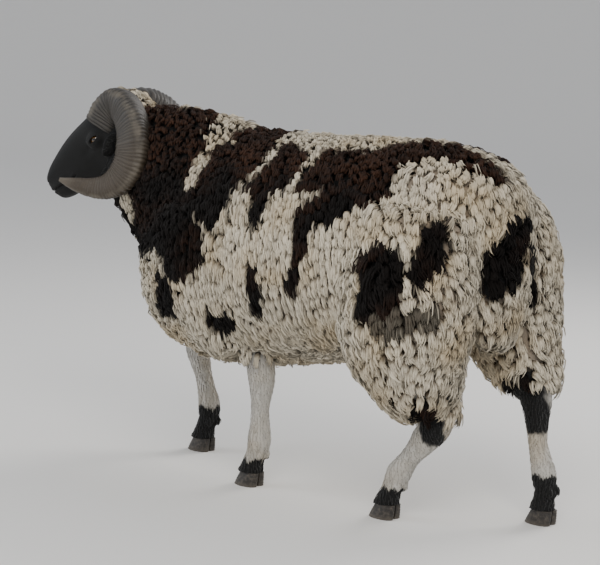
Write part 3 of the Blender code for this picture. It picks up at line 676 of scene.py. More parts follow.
def on_head(points):
    """From 0 on the body to 1 on the bare head."""
    p = head_places(points)
    return np.clip((p[:, 0] + 0.012 + 0.25 * (p[:, 2] + 0.03)) / 0.01, 0, 1) * (
        (np.abs(p[:, 1]) < 0.15) & (p[:, 2] > THROAT)
    )


def markings(points, rough=1.0):
    """How dark the coat is at each point: 1 black, 0 cream or white."""
    points = np.asarray(points, float)
    stray = PATCH_WANDER * rough * (
        wander(points, PATCH_WANDER_SIZE) + 0.5 * wander(points, PATCH_WANDER_SIZE / 3, 5.0)
    ) / 1.5
    dark = np.zeros(len(points))
    for shade, chain in PATCHES:
        size = min(1.0, np.mean([row[3] for row in chain]) / SMALL_PATCH)
        edge = chain_distance(points, chain) + stray * size
        cover = np.clip(0.5 - edge / PATCH_EDGE, 0, 1)
        dark = dark + (shade - dark) * cover
    for leg, top in FOOT_TOPS.items():
        foot = SHIFT @ Vector(SHANKS[leg][-2][:3])
        near = np.hypot(points[:, 0] - foot.x, points[:, 1] - foot.y) < FOOT_REACH
        edge = points[:, 2] - top + FOOT_WAVER * wander(points, 0.012, 2.0)
        dark = np.maximum(dark, near * np.clip(0.5 - edge / HAIR_EDGE, 0, 1))
    p = head_places(points)
    half = BLAZE_HALF * (1.05 - 0.9 * np.clip((p[:, 0] - 0.1) / 0.15, 0, 1))
    half = half + 0.01 * np.clip((0.06 - p[:, 0]) / 0.06, 0, 1)
    edge = np.abs(p[:, 1] + 0.001) - half + BLAZE_WAVER * (
        wander(points, 0.021, 9.0) + wander(points, 0.0063, 4.0) + 0.6 * wander(points, 0.0027, 1.0))
    ends = np.clip((BLAZE_END - p[:, 0]) / 0.006, 0, 1)
    blaze = np.clip(0.5 - edge / HAIR_EDGE, 0, 1) * (p[:, 2] > 0.0) * ends
    return dark + (1 - blaze - dark) * on_head(points)


def put(mesh, name, values):
    """Stores a number or a direction for each vertex, for the materials to read."""
    values = np.asarray(values, np.float32)
    if values.ndim == 1:
        mesh.attributes.new(name, "FLOAT", "POINT").data.foreach_set("value", values)
    else:
        mesh.attributes.new(name, "FLOAT_VECTOR", "POINT").data.foreach_set("vector", values.ravel())


def bump_at(points, normals, centre, reach, height):
    """Moves points near a place along their normals by a rounded amount."""
    away = (points - np.asarray(centre)) / np.asarray(reach)
    share = np.exp(-0.5 * (away ** 2).sum(1))
    return points + normals * (height * share)[:, None]


def ear(side):
    """A cupped leaf, open forwards and outwards."""
    mirror = Vector((1, side, 1))
    along = (EAR_ALONG * mirror).normalized()
    opening = EAR_OPENING * mirror
    opening = (opening - along * opening.dot(along)).normalized()
    wide = along.cross(opening)
    arc = 14
    made = []
    for t, width, cup in between(EAR_ROWS, 30):
        middle = EAR_ROOT * mirror + along * (EAR_LENGTH * t)
        half, deep = EAR_WIDTH / 2 * width, EAR_WIDTH / 2 * cup
        wall = min(EAR_THICKNESS, half * 0.7)
        angles = [math.pi * k / (arc - 1) for k in range(arc)]
        ring = [middle + wide * (half * math.cos(a)) - opening * (deep * math.sin(a)) for a in angles]
        ring += [
            middle + wide * ((half - wall) * math.cos(a))
            - opening * ((deep - wall) * math.sin(a) - wall * 0.4)
            for a in reversed(angles)
        ]
        made.append(ring)
    obj = loft("ear", made)
    obj.data.transform(BEARING_TO_WORLD)
    return outward(obj)


def signed_power(values, power):
    return np.sign(values) * np.abs(values) ** power


def head_blank():
    """The head's plain form in its own frame."""
    angle = 2 * math.pi * (np.arange(48) + 0.5) / 48
    c, d = np.cos(angle), np.sin(angle)
    rings = []
    for s, top, low, cheek, jaw in between(HEAD, 70):
        share = (d + 1) / 2
        width = jaw + (cheek - jaw) * share * share * (3 - 2 * share)
        height = (top + low) / 2 + (top - low) / 2 * signed_power(d, 0.9)
        rings.append(np.stack([np.full(48, s), width * signed_power(c, 0.85), height], 1))
    return loft("head_blank", rings)


def head_forms(points, normals):
    """The swells and hollows of a ram's face, in the head's own frame."""
    for side in (-1, 1):
        for (forward, out, up), reach, height in CHEEK_FORMS:
            points = bump_at(points, normals, (forward, side * out, up), reach, height)
    for centre, reach, height in MIDDLE_FORMS:
        points = bump_at(points, normals, centre, reach, height)
    return points


def mouth_groove(points, normals):
    """Presses the line of the mouth into the lips."""
    x, z = points[:, 0], points[:, 2]
    share = np.clip((x - MOUTH_CORNER[0]) / (MOUTH_FRONT[0] - MOUTH_CORNER[0]), -0.3, 1.2)
    line = MOUTH_CORNER[1] + (MOUTH_FRONT[1] - MOUTH_CORNER[1]) * share - MOUTH_DIP * np.sin(share * 3.1)
    inside = np.clip((x - MOUTH_CORNER[0] + 0.002) / 0.006, 0, 1)
    depth = MOUTH_DEPTH * np.exp(-0.5 * ((z - line) / MOUTH_WIDTH) ** 2) * inside
    lips = LIP_SWELL * np.exp(-0.5 * ((np.abs(z - line) - LIP_AWAY) / LIP_WIDTH) ** 2) * inside
    return points + normals * (lips - depth)[:, None]


def sided(place, side):
    """A place on the left or right half of the head."""
    return Vector((place[0], side * place[1], place[2]))


def head_skin(grain):
    """The bare head and ears with lids, nostrils, lips and folds, in the world's places."""
    parts = [head_blank()]
    cutters = []
    for side in (-1, 1):
        eye, nostril = sided(EYE_PLACE, side), sided(NOSTRIL, side)
        parts.append(ball("lid", eye, LID))
        parts.append(ball("brow", eye + sided(BROW_AWAY, side), BROW))
        cutters.append(ball("socket", eye, [EYE_RADIUS + EYE_ROOM] * 3, 48, 32))
        front = eye + Vector((0, side * EYE_RADIUS * 1.1, 0))
        tail = nostril + sided(NOSTRIL_TAIL_AWAY, side)
        cutters.append(ball("lid_gap", front, LID_OPENING, 48, 32))
        cutters.append(ball("nostril", nostril, NOSTRIL_SIZE, 32, 20))
        cutters.append(ball("nostril_tail", tail, NOSTRIL_TAIL_SIZE, 24, 16))
    head = fused(joined("head_form", parts), grain * 1.3, 8)
    set_points(head.data, head_forms(points_of(head.data), normals_of(head.data)))
    fused(head, grain, 2)
    set_points(head.data, mouth_groove(points_of(head.data), normals_of(head.data)))
    head = boolean(head, "DIFFERENCE", cutters)
    head.data.transform(HEAD_TO_WORLD)
    head.data.flip_normals()
    ears = [fused(ear(side), EAR_GRAIN, 6) for side in (-1, 1)]
    return boolean(head, "UNION", ears)


def shank_skin(grain):
    """The bare legs down to the coronets."""
    parts = []
    for rows in SHANKS.values():
        parts.append(limb("shank", rows, 24, 60))
        fetlock = SHIFT @ Vector(rows[-2][:3])
        for side in (-1, 1):
            place = fetlock + Vector((DEWCLAW_BACK, side * DEWCLAW_SIDE, DEWCLAW_UP))
            parts.append(ball("dewclaw", place, DEWCLAW_SIZE, 16, 10))
    legs = fused(joined("shanks", parts), grain, 3)
    cut = mesh_from("cut", *box_of((-1, -1, -0.2), (1, 1, CORONET)))
    return boolean(legs, "DIFFERENCE", [outward(cut)])


def box_of(low, high):
    xs, ys, zs = zip(low, high)
    corners = [(x, y, z) for x in xs for y in ys for z in zs]
    faces = [(0, 1, 3, 2), (4, 6, 7, 5), (0, 4, 5, 1), (2, 3, 7, 6), (0, 2, 6, 4), (1, 5, 7, 3)]
    return corners, faces


def body_skin(grain):
    """The trunk, neck, tail, shoulders and thighs as they are under the wool."""
    stations = [(x, 0.0, (top + low) / 2, (top - low) / 2, half) for x, top, low, half in TRUNK]
    parts = [limb("trunk", stations, 48, 60, egg=0.10), limb("neck", NECK, 40, 40, egg=-0.05)]
    parts.append(limb("tail", TAIL, 24, 40))
    for rows in (*THIGHS.values(), *SHOULDERS.values()):
        parts.append(limb("quarter", rows, 32, 40))
    parts.append(ball("pouch", SHIFT @ Vector(POUCH), POUCH_SIZE))
    return fused(joined("body", parts), grain, 6)


def group(name, inputs, outputs):
    """A new shader node group with named sockets, and its two ends."""
    tree = bpy.data.node_groups.new(name, "ShaderNodeTree")
    for socket, kind, value in inputs:
        made = tree.interface.new_socket(socket, in_out="INPUT", socket_type=kind)
        if value is not None:
            made.default_value = value
    for socket, kind in outputs:
        tree.interface.new_socket(socket, in_out="OUTPUT", socket_type=kind)
    return tree, tree.nodes.new("NodeGroupInput"), tree.nodes.new("NodeGroupOutput")


def node(tree, kind, **settings):
    made = tree.nodes.new(kind)
    for key, value in settings.items():
        setattr(made, key, value)
    return made


def wire(tree, source, target):
    tree.links.new(source, target)


def math_node(tree, operation, a, b=None):
    made = node(tree, "ShaderNodeMath", operation=operation)
    for socket, value in zip(made.inputs, (a, b)):
        if value is None:
            continue
        if isinstance(value, (int, float)):
            socket.default_value = value
        else:
            wire(tree, value, socket)
    return made.outputs[0]


def mix_colour(tree, share, a, b, blend="MIX"):
    made = node(tree, "ShaderNodeMix", data_type="RGBA", blend_type=blend)
    for socket, value in ((made.inputs["Factor"], share), (made.inputs[6], a), (made.inputs[7], b)):
        if isinstance(value, bpy.types.NodeSocket):
            wire(tree, value, socket)
        elif isinstance(value, (int, float)):
            socket.default_value = value
        else:
            socket.default_value = (*value[:3], 1.0)
    return made.outputs[2]


def ramp(tree, value, low, high):
    """Value taken from low..high to 0..1, with smooth ends."""
    made = node(tree, "ShaderNodeMapRange", interpolation_type="SMOOTHSTEP")
    wire(tree, value, made.inputs["Value"])
    made.inputs["From Min"].default_value = low
    made.inputs["From Max"].default_value = high
    return made.outputs["Result"]


def attribute(tree, name):
    return node(tree, "ShaderNodeAttribute", attribute_name=name).outputs["Fac"]


def noise(tree, vector, scale, detail=2.0, roughness=0.5):
    made = node(tree, "ShaderNodeTexNoise")
    wire(tree, vector, made.inputs["Vector"])
    made.inputs["Scale"].default_value = scale
    made.inputs["Detail"].default_value = detail
    made.inputs["Roughness"].default_value = roughness
    return made.outputs["Fac"]


def coat_tint_group():
    """Colour of a coat from its darkness, its bleaching, a painted shade that deepens towards the roots,
    and its own stray tone.
    """
    tree, start, end = group(
        "coat_tint",
        [("Dark", "NodeSocketFloat", 0.0), ("Rust", "NodeSocketFloat", 0.0),
         ("Along", "NodeSocketFloat", 1.0), ("Lot", "NodeSocketFloat", 0.5),
         ("Light Colour", "NodeSocketColor", None), ("Root Shade Colour", "NodeSocketColor", None),
         ("Dark Colour", "NodeSocketColor", None), ("Rust Colour", "NodeSocketColor", None)],
        [("Colour", "NodeSocketColor")],
    )
    read = start.outputs
    spots = noise(tree, node(tree, "ShaderNodeNewGeometry").outputs["Position"], 9.0, 3.0)
    # Painted shade: the colour darkens from the tips down to the root colour deep in the fleece,
    # standing in for the shade between the locks.
    depth = ramp(tree, read["Along"], 0.10, 0.60)
    light = mix_colour(tree, depth, read["Root Shade Colour"], read["Light Colour"])
    aged = mix_colour(tree, 1.0, light, AGED_WOOL, "MULTIPLY")
    warm = mix_colour(tree, ramp(tree, spots, 0.4, 0.75), light, aged)
    bleach = math_node(tree, "MULTIPLY", read["Rust"], ramp(tree, read["Along"], 0.25, 1.0))
    dark = mix_colour(tree, bleach, read["Dark Colour"], read["Rust Colour"])
    both = mix_colour(tree, read["Dark"], warm, dark)
    stray = math_node(tree, "ADD", math_node(tree, "MULTIPLY", read["Lot"], 0.18), 0.90)
    grey = node(tree, "ShaderNodeCombineColor")
    for socket in grey.inputs:
        wire(tree, stray, socket)
    wire(tree, mix_colour(tree, 1.0, both, grey.outputs[0], "MULTIPLY"), end.inputs["Colour"])
    return tree


def fine_lines_group():
    """Height of fine hairs that run along one direction of a vector."""
    tree, start, end = group(
        "fine_lines",
        [("Vector", "NodeSocketVector", None), ("Scale", "NodeSocketFloat", 1.0)],
        [("Height", "NodeSocketFloat")],
    )
    scaled = node(tree, "ShaderNodeVectorMath", operation="SCALE")
    wire(tree, start.outputs["Vector"], scaled.inputs[0])
    wire(tree, start.outputs["Scale"], scaled.inputs["Scale"])
    wire(tree, noise(tree, scaled.outputs[0], 1.0, 4.0, 0.65), end.inputs["Height"])
    return tree


def shared_group(name, maker):
    return bpy.data.node_groups.get(name) or maker()


def placed_group(tree, group_tree):
    made = node(tree, "ShaderNodeGroup")
    made.node_tree = group_tree
    return made


def new_material(name, roughness, **sockets):
    """A material with its Principled shader, whose even values are set on its own sockets."""
    made = bpy.data.materials.new(name)
    made.use_nodes = True
    shader = made.node_tree.nodes["Principled BSDF"]
    shader.inputs["Roughness"].default_value = roughness
    for key, value in sockets.items():
        shader.inputs[key.replace("_", " ")].default_value = value
    return made, made.node_tree, shader


def lay_normal(tree):
    """The surface's own normal drawn some way towards that of the skin below it."""
    lay = node(tree, "ShaderNodeAttribute", attribute_name="lay").outputs["Vector"]
    own = node(tree, "ShaderNodeNewGeometry").outputs["Normal"]
    mix = node(tree, "ShaderNodeMix", data_type="VECTOR")
    mix.inputs["Factor"].default_value = LAY_SHARE
    wire(tree, own, mix.inputs[4])
    wire(tree, lay, mix.inputs[5])
    even = node(tree, "ShaderNodeVectorMath", operation="NORMALIZE")
    wire(tree, mix.outputs[1], even.inputs[0])
    return even.outputs[0]


def bumped(tree, shader, height, distance, strength=1.0, normal=None):
    bump = node(tree, "ShaderNodeBump")
    if normal is not None:
        wire(tree, normal, bump.inputs["Normal"])
    bump.inputs["Strength"].default_value = strength
    bump.inputs["Distance"].default_value = distance
    wire(tree, height, bump.inputs["Height"])
    wire(tree, bump.outputs["Normal"], shader.inputs["Normal"])


# The root colour given here is a painted shade that the coat takes on towards its roots.
def coat_colour(tree, shader, light, root, dark, rust):
    tint = placed_group(tree, shared_group("coat_tint", coat_tint_group))
    for socket in ("Dark", "Rust", "Along", "Lot"):
        wire(tree, attribute(tree, socket.lower()), tint.inputs[socket])
    for socket, colour in (
        ("Light Colour", light), ("Root Shade Colour", root), ("Dark Colour", dark), ("Rust Colour", rust),
    ):
        tint.inputs[socket].default_value = (*colour, 1.0)
    wire(tree, tint.outputs["Colour"], shader.inputs["Base Color"])


def wool_material():
    colours = bpy.context.scene.ram_colours
    made, tree, shader = new_material(
        "wool", 1.0, Sheen_Weight=0.05, Sheen_Roughness=0.6, Specular_IOR_Level=0.03)
    coat_colour(tree, shader, colours.cream, colours.cream_root_shade, colours.black, colours.rust)
    lines = placed_group(tree, shared_group("fine_lines", fine_lines_group))
    across = node(tree, "ShaderNodeCombineXYZ")
    for socket, (name, times) in zip(across.inputs, (("across", 9.0), ("along", 2.5), ("lot", 60.0))):
        wire(tree, math_node(tree, "MULTIPLY", attribute(tree, name), times), socket)
    wire(tree, across.outputs[0], lines.inputs["Vector"])
    bumped(tree, shader, lines.outputs["Height"], 0.0018, 0.6, lay_normal(tree))
    return made


def hair_material(name):
    colours = bpy.context.scene.ram_colours
    made, tree, shader = new_material(name, 0.62, Sheen_Weight=0.08, Specular_IOR_Level=0.35)
    black = colours.black_hair
    # White tufts also darken towards their roots with the coat's painted root shade.
    coat_colour(tree, shader, colours.white_hair, colours.cream_root_shade, black, black)
    return made


def skin_material():
    colours = bpy.context.scene.ram_colours
    made, tree, shader = new_material("skin", 0.70, Sheen_Weight=0.03, Specular_IOR_Level=0.25)
    # Under the wool the skin is painted with a lighter copy of the wool's root shade, so that gaps
    # between the locks read as shaded wool.
    under_wool_shade = tuple(2.3 * c for c in colours.cream_root_shade)
    black = colours.black_hair
    coat_colour(tree, shader, colours.white_hair, under_wool_shade, black, black)
    place = node(tree, "ShaderNodeNewGeometry").outputs["Position"]
    stretch = node(tree, "ShaderNodeMapping")
    stretch.inputs["Scale"].default_value = (1.0, 1.0, 0.28)
    wire(tree, place, stretch.inputs["Vector"])
    lines = placed_group(tree, shared_group("fine_lines", fine_lines_group))
    wire(tree, stretch.outputs[0], lines.inputs["Vector"])
    lines.inputs["Scale"].default_value = 900.0
    bumped(tree, shader, lines.outputs["Height"], 0.0012, 0.7)
    return made


class SheepOperator(Operator):
    """Base of the ram's operators, which build into the open scene."""

    bl_options = {"REGISTER", "UNDO"}


class RAM_OT_skin(SheepOperator):
    """Build the skin of the body, legs, head and ears as one surface."""

    bl_idname = "ram.skin"
    bl_label = "Skin"

    def execute(self, context):
        sizes = context.scene.ram_sizes
        body = body_skin(sizes.body_grain)
        skin = boolean(body, "UNION", [shank_skin(sizes.leg_grain), head_skin(sizes.head_grain)])
        skin.name = "skin"
        skin.data.shade_smooth()
        points = points_of(skin.data)
        put(skin.data, "dark", markings(points, SHORT_HAIR_WANDER))
        bare = np.maximum(on_head(points), points[:, 2] < LEG_TOP)
        # Under the wool the skin keeps a low along, which paints it with the coat's root shade.
        put(skin.data, "along", np.maximum(bare, UNDER_WOOL))
        put(skin.data, "rust", np.zeros(len(points)))
        put(skin.data, "lot", np.full(len(points), 0.5))
        skin.data.materials.clear()
        skin.data.materials.append(skin_material())
        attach(skin, "root")
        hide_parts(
            "torso", "neck", "tail", "head", "ear_left", "ear_right",
            "foreleg_left", "foreleg_right", "hindleg_left", "hindleg_right",
        )
        return {"FINISHED"}


def horn_rings(side, rings, sides, pitch):
    """Rings of points round one horn, with its ribs, and how far each lies along and out of a groove."""
    rows = between(HORN_TURN, rings)
    spine = np.stack([rows[:, 0], side * rows[:, 2], rows[:, 1]], 1)
    ahead = unit(np.gradient(spine, axis=0))
    away = spine - np.array(HORN_MIDDLE)
    away[:, 1] = 0
    away = unit(away - ahead * (away * ahead).sum(1, keepdims=True))
    across = np.cross(ahead, away)
    across *= np.sign(across[:, 1:2] * side)
    length = np.concatenate([[0], np.cumsum(np.linalg.norm(np.diff(spine, axis=0), axis=1))])
    total = length[-1]
    angle = 2 * math.pi * np.arange(sides) / sides
    lag = 0.0035 * np.sin(angle) + 0.0025 * np.cos(2 * angle)
    place = length[:, None] + lag[None]
    turn = place / pitch * (1 + RIB_SPREAD * place / total)
    turn = turn + 0.22 * np.sin(turn * 0.9 + side) + 0.1 * np.sin(turn * 2.3)
    crest = (0.5 + 0.5 * np.cos(2 * math.pi * turn)) ** 0.7
    fade = np.clip((total - length) / (RIB_FADE * total), 0, 1)[:, None] ** 0.8
    rib = (crest - 0.5) * fade
    keel = 1 + KEEL_RISE * np.cos(3 * (angle - KEEL_ANGLE))
    grow = 0.965 + RIB_HEIGHT * rib + 0.012 * np.sin(turn * 1.7 + 3 * angle)
    ring = (
        spine[:, None]
        + away[:, None] * (rows[:, 3, None] * keel * grow * np.cos(angle))[:, :, None]
        + across[:, None] * (rows[:, 4, None] * keel * grow * np.sin(angle))[:, :, None]
    )
    far = np.repeat((length / total)[:, None], sides, 1)
    line = np.exp(-0.5 * ((angle - KEEL_ANGLE) / KEEL_WIDTH) ** 2)[None] * np.ones((rings, 1))
    return ring, far, crest * fade + (1 - fade) * 0.6, line


def horn_material():
    colours = bpy.context.scene.ram_colours
    made, tree, shader = new_material("horn_wall", 0.48, Specular_IOR_Level=0.45)
    place = node(tree, "ShaderNodeNewGeometry").outputs["Position"]
    far = attribute(tree, "far")
    cloudy = noise(tree, place, 38.0, 5.0, 0.6)
    fine = noise(tree, place, 420.0, 4.0, 0.6)
    pale = tuple(c * k for c, k in zip(colours.horn, (1.55, 1.5, 1.42)))
    wall = mix_colour(tree, ramp(tree, cloudy, 0.35, 0.7), colours.horn, pale)
    base = mix_colour(tree, ramp(tree, attribute(tree, "crest"), 0.05, 0.65), colours.horn_groove, wall)
    middle = math_node(tree, "MULTIPLY", ramp(tree, far, 0.3, 0.6), 0.55)
    warm = mix_colour(tree, middle, base, HORN_WARM)
    worn = math_node(tree, "MULTIPLY", attribute(tree, "keel"), ramp(tree, cloudy, 0.3, 0.62))
    lit = mix_colour(tree, math_node(tree, "MULTIPLY", worn, 0.75), warm, HORN_KEEL)
    tip = mix_colour(tree, ramp(tree, far, 0.9, 1.0), lit, HORN_TIP)
    dust = math_node(tree, "MULTIPLY", ramp(tree, fine, 0.45, 0.8), 0.35)
    wire(tree, mix_colour(tree, dust, tip, HORN_DUST), shader.inputs["Base Color"])
    height = math_node(tree, "ADD", fine, math_node(tree, "MULTIPLY", cloudy, 0.8))
    bumped(tree, shader, height, 0.001, 0.7)
    dull = math_node(tree, "ADD", math_node(tree, "MULTIPLY", cloudy, 0.25), 0.38)
    wire(tree, dull, shader.inputs["Roughness"])
    return made


class RAM_OT_horns(SheepOperator):
    """Build the two ribbed horns."""

    bl_idname = "ram.horns"
    bl_label = "Horns"

    def execute(self, context):
        made = horn_material()
        pitch = context.scene.ram_sizes.rib_pitch
        for side, name in ((-1, "left"), (1, "right")):
            rings, far, crest, keel = horn_rings(side, HORN_RINGS, HORN_SIDES, pitch)
            obj = loft("horn_wall_" + name, rings)
            put(obj.data, "far", [*far.ravel(), 0.0, 1.0])
            put(obj.data, "crest", [*crest.ravel(), 0.0, 0.5])
            put(obj.data, "keel", [*keel.ravel(), 0.0, 0.0])
            obj.data.transform(BEARING_TO_WORLD)
            outward(obj)
            obj.data.shade_smooth()
            obj.data.materials.append(made)
            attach(obj, "root")
            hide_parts("horn_" + name)
        return {"FINISHED"}


def eye_material():
    """An amber iris with a level slot for its pupil, under a wet surface."""
    colours = bpy.context.scene.ram_colours
    made, tree, shader = new_material("wet_eye", 0.06, Coat_Weight=1.0, Coat_Roughness=0.02)
    out, level = attribute(tree, "iris_out"), attribute(tree, "iris_level")
    place = node(tree, "ShaderNodeNewGeometry").outputs["Position"]
    streak = noise(tree, place, 900.0, 2.0)
    deep = tuple(0.45 * c for c in colours.iris)
    iris = mix_colour(tree, ramp(tree, streak, 0.3, 0.7), colours.iris, deep)
    rim = mix_colour(tree, ramp(tree, out, 0.8, 1.0), iris, IRIS_RIM)
    pupil = mix_colour(tree, ramp(tree, level, 0.85, 1.05), PUPIL, rim)
    white = mix_colour(tree, ramp(tree, out, 1.05, 1.25), pupil, EYE_WHITE)
    wire(tree, white, shader.inputs["Base Color"])
    return made


class RAM_OT_eyes(SheepOperator):
    """Build the two eyes."""

    bl_idname = "ram.eyes"
    bl_label = "Eyes"

    def execute(self, context):
        made = eye_material()
        for side, name in ((-1, "left"), (1, "right")):
            low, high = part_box("eye_" + name)
            obj = ball("eyeball_" + name, (0, 0, 0), [EYE_RADIUS] * 3, 64, 48)
            points = points_of(obj.data)
            across = points[:, [0, 2]] / (EYE_RADIUS * IRIS_SHARE)
            out = np.linalg.norm(across, axis=1) + 9 * (points[:, 1] * side < 0)
            cornea = 1 + CORNEA_RISE * np.clip(1.05 - out, 0, 1)
            put(obj.data, "iris_out", out)
            put(obj.data, "iris_level", np.hypot(*(across / np.array(PUPIL_SHARES)).T))
            set_points(obj.data, points * cornea[:, None] * np.array([1, 0.985, 1]))
            turn = HEAD_TO_WORLD.to_3x3().to_4x4()
            level = Matrix.Rotation(-HEAD_PITCH * EYE_LEVEL, 4, "Y")
            obj.data.transform(Matrix.Translation((low + high) / 2) @ turn @ level)
            outward(obj)
            obj.data.shade_smooth()
            obj.data.materials.append(made)
            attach(obj, "root")
            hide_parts("eye_" + name)
        return {"FINISHED"}


def claw_rings(foot, side):
    """One half of a cloven hoof, flat underneath, with its inner wall along the cleft."""
    rings = []
    for height in np.linspace(0, 1, 22):
        wave = 1 + 0.012 * math.sin(height * 34)
        share = (1.0 - CLAW_NARROWING * height ** 1.3) * wave
        back = CLAW_LEAN * height
        z = 0.0 if height == 0 else height * (CORONET - 0.0003)
        rings.append([
            (foot.x - (along * share - back), foot.y + side * (CLAW_GAP + (out - CLAW_GAP) * share), z)
            for along, out in CLAW_OUTLINE
        ])
    return rings


def hoof_material():
    colours = bpy.context.scene.ram_colours
    made, tree, shader = new_material("hoof_wall", 0.52, Specular_IOR_Level=0.4)
    place = node(tree, "ShaderNodeNewGeometry").outputs["Position"]
    worn = noise(tree, place, 140.0, 4.0, 0.6)
    height = node(tree, "ShaderNodeSeparateXYZ")
    wire(tree, place, height.inputs[0])
    base = mix_colour(tree, ramp(tree, worn, 0.4, 0.75), colours.hoof, HOOF_WORN)
    dust = math_node(tree, "MULTIPLY", ramp(tree, height.outputs[2], 0.012, 0.0), 0.5)
    wire(tree, mix_colour(tree, dust, base, HOOF_DUST), shader.inputs["Base Color"])
    bumped(tree, shader, worn, 0.0012, 0.7)
    return made


class RAM_OT_hooves(SheepOperator):
    """Build the eight claws."""

    bl_idname = "ram.hooves"
    bl_label = "Hooves"

    def execute(self, context):
        made = hoof_material()
        for leg, rows in SHANKS.items():
            foot = SHIFT @ Vector(rows[-1][:3])
            for side, name in ((-1, "left"), (1, "right")):
                obj = loft(f"hoof_{leg}_{name}", claw_rings(foot, side))
                obj.data.shade_smooth()
                obj.data.set_sharp_from_angle(angle=math.radians(50))
                obj.data.materials.append(made)
                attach(obj, "root")
                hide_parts(f"claw_{leg}_{name}")
        return {"FINISHED"}


def skin_tree(skin):
    """The skin as a tree for finding the nearest place on it."""
    skin.data.calc_loop_triangles()
    points = points_of(skin.data)
    faces = np.empty(len(skin.data.loop_triangles) * 3, int)
    skin.data.loop_triangles.foreach_get("vertices", faces)
    return BVHTree.FromPolygons([tuple(p) for p in points], faces.reshape(-1, 3).tolist())


def scattered(skin, count, wanted, rng):
    """Random places on the skin where wanted says, evenly by area, and their normals."""
    mesh = skin.data
    points = points_of(mesh)
    faces = np.empty(len(mesh.loop_triangles) * 3, int)
    mesh.loop_triangles.foreach_get("vertices", faces)
    corners = points[faces.reshape(-1, 3)]
    normals = np.cross(corners[:, 1] - corners[:, 0], corners[:, 2] - corners[:, 0])
    areas = np.linalg.norm(normals, axis=1)
    normals = normals / np.maximum(areas, 1e-12)[:, None]
    middles = corners.mean(axis=1)
    weights = areas * wanted(middles)
    picks = rng.choice(len(areas), count, p=weights / weights.sum())
    shares = rng.random((count, 2))
    over = shares.sum(axis=1) > 1
    shares[over] = 1 - shares[over]
    chosen = corners[picks]
    spots = (
        chosen[:, 0]
        + (chosen[:, 1] - chosen[:, 0]) * shares[:, :1]
        + (chosen[:, 2] - chosen[:, 0]) * shares[:, 1:]
    )
    return spots, normals[picks]


def thinned(spots, spacing):
    """The indices of spots kept so that none stands nearer than its spacing to one kept before."""
    cell = float(spacing.max())
    grid, kept = {}, []
    cells = np.floor(spots / cell).astype(int)
    around = [(i, j, k) for i in (-1, 0, 1) for j in (-1, 0, 1) for k in (-1, 0, 1)]
    for n, (spot, key, room) in enumerate(zip(spots.tolist(), cells.tolist(), spacing.tolist())):
        limit = room * room
        for i, j, k in around:
            near = grid.get((key[0] + i, key[1] + j, key[2] + k))
            if near and any(
                (spot[0] - q[0]) ** 2 + (spot[1] - q[1]) ** 2 + (spot[2] - q[2]) ** 2 < limit
                for q in near
            ):
                break
        else:
            grid.setdefault(tuple(key), []).append(spot)
            kept.append(n)
    return np.array(kept)


def hang(points, normals):
    """The way the coat lies: down, a little back, and away from the spine and the belly's middle."""
    lie = np.zeros_like(points)
    lie[:, 0] = 0.16
    lie[:, 2] = -1.0
    side = np.tanh(points[:, 1] / 0.03)
    lie[:, 1] = 0.85 * side * np.abs(normals[:, 2]) ** 1.5
    lie[:, 0] += 0.35 * np.clip(normals[:, 2], 0, 1)
    return lie


def laid(tree, spots, normals, lies, lengths, rings):
    """Paths that run over the skin from each spot along the lie, with the skin's normal at each step."""
    places = np.empty((len(spots), rings, 3))
    ups = np.empty_like(places)
    for i in range(len(spots)):
        place, normal = Vector(spots[i]), Vector(normals[i])
        lie = Vector(lies[i])
        step = float(lengths[i]) / (rings - 1)
        for k in range(rings):
            places[i, k] = place
            ups[i, k] = normal
            ahead = lie - normal * lie.dot(normal)
            if ahead.length < 1e-6:
                ahead = normal.orthogonal()
            near, facing, _, _ = tree.find_nearest(place + ahead.normalized() * step)
            place = near
            normal = (normal + facing * 0.8).normalized()
    return places, ups


def squared(centres, side):
    """Which way each ring of a lock faces sideways and upwards, from the lock's own sideways."""
    ahead = unit(np.gradient(centres, axis=1))
    side = unit(side[:, None] - ahead * (ahead * side[:, None]).sum(-1, keepdims=True))
    return side, np.cross(side, ahead)


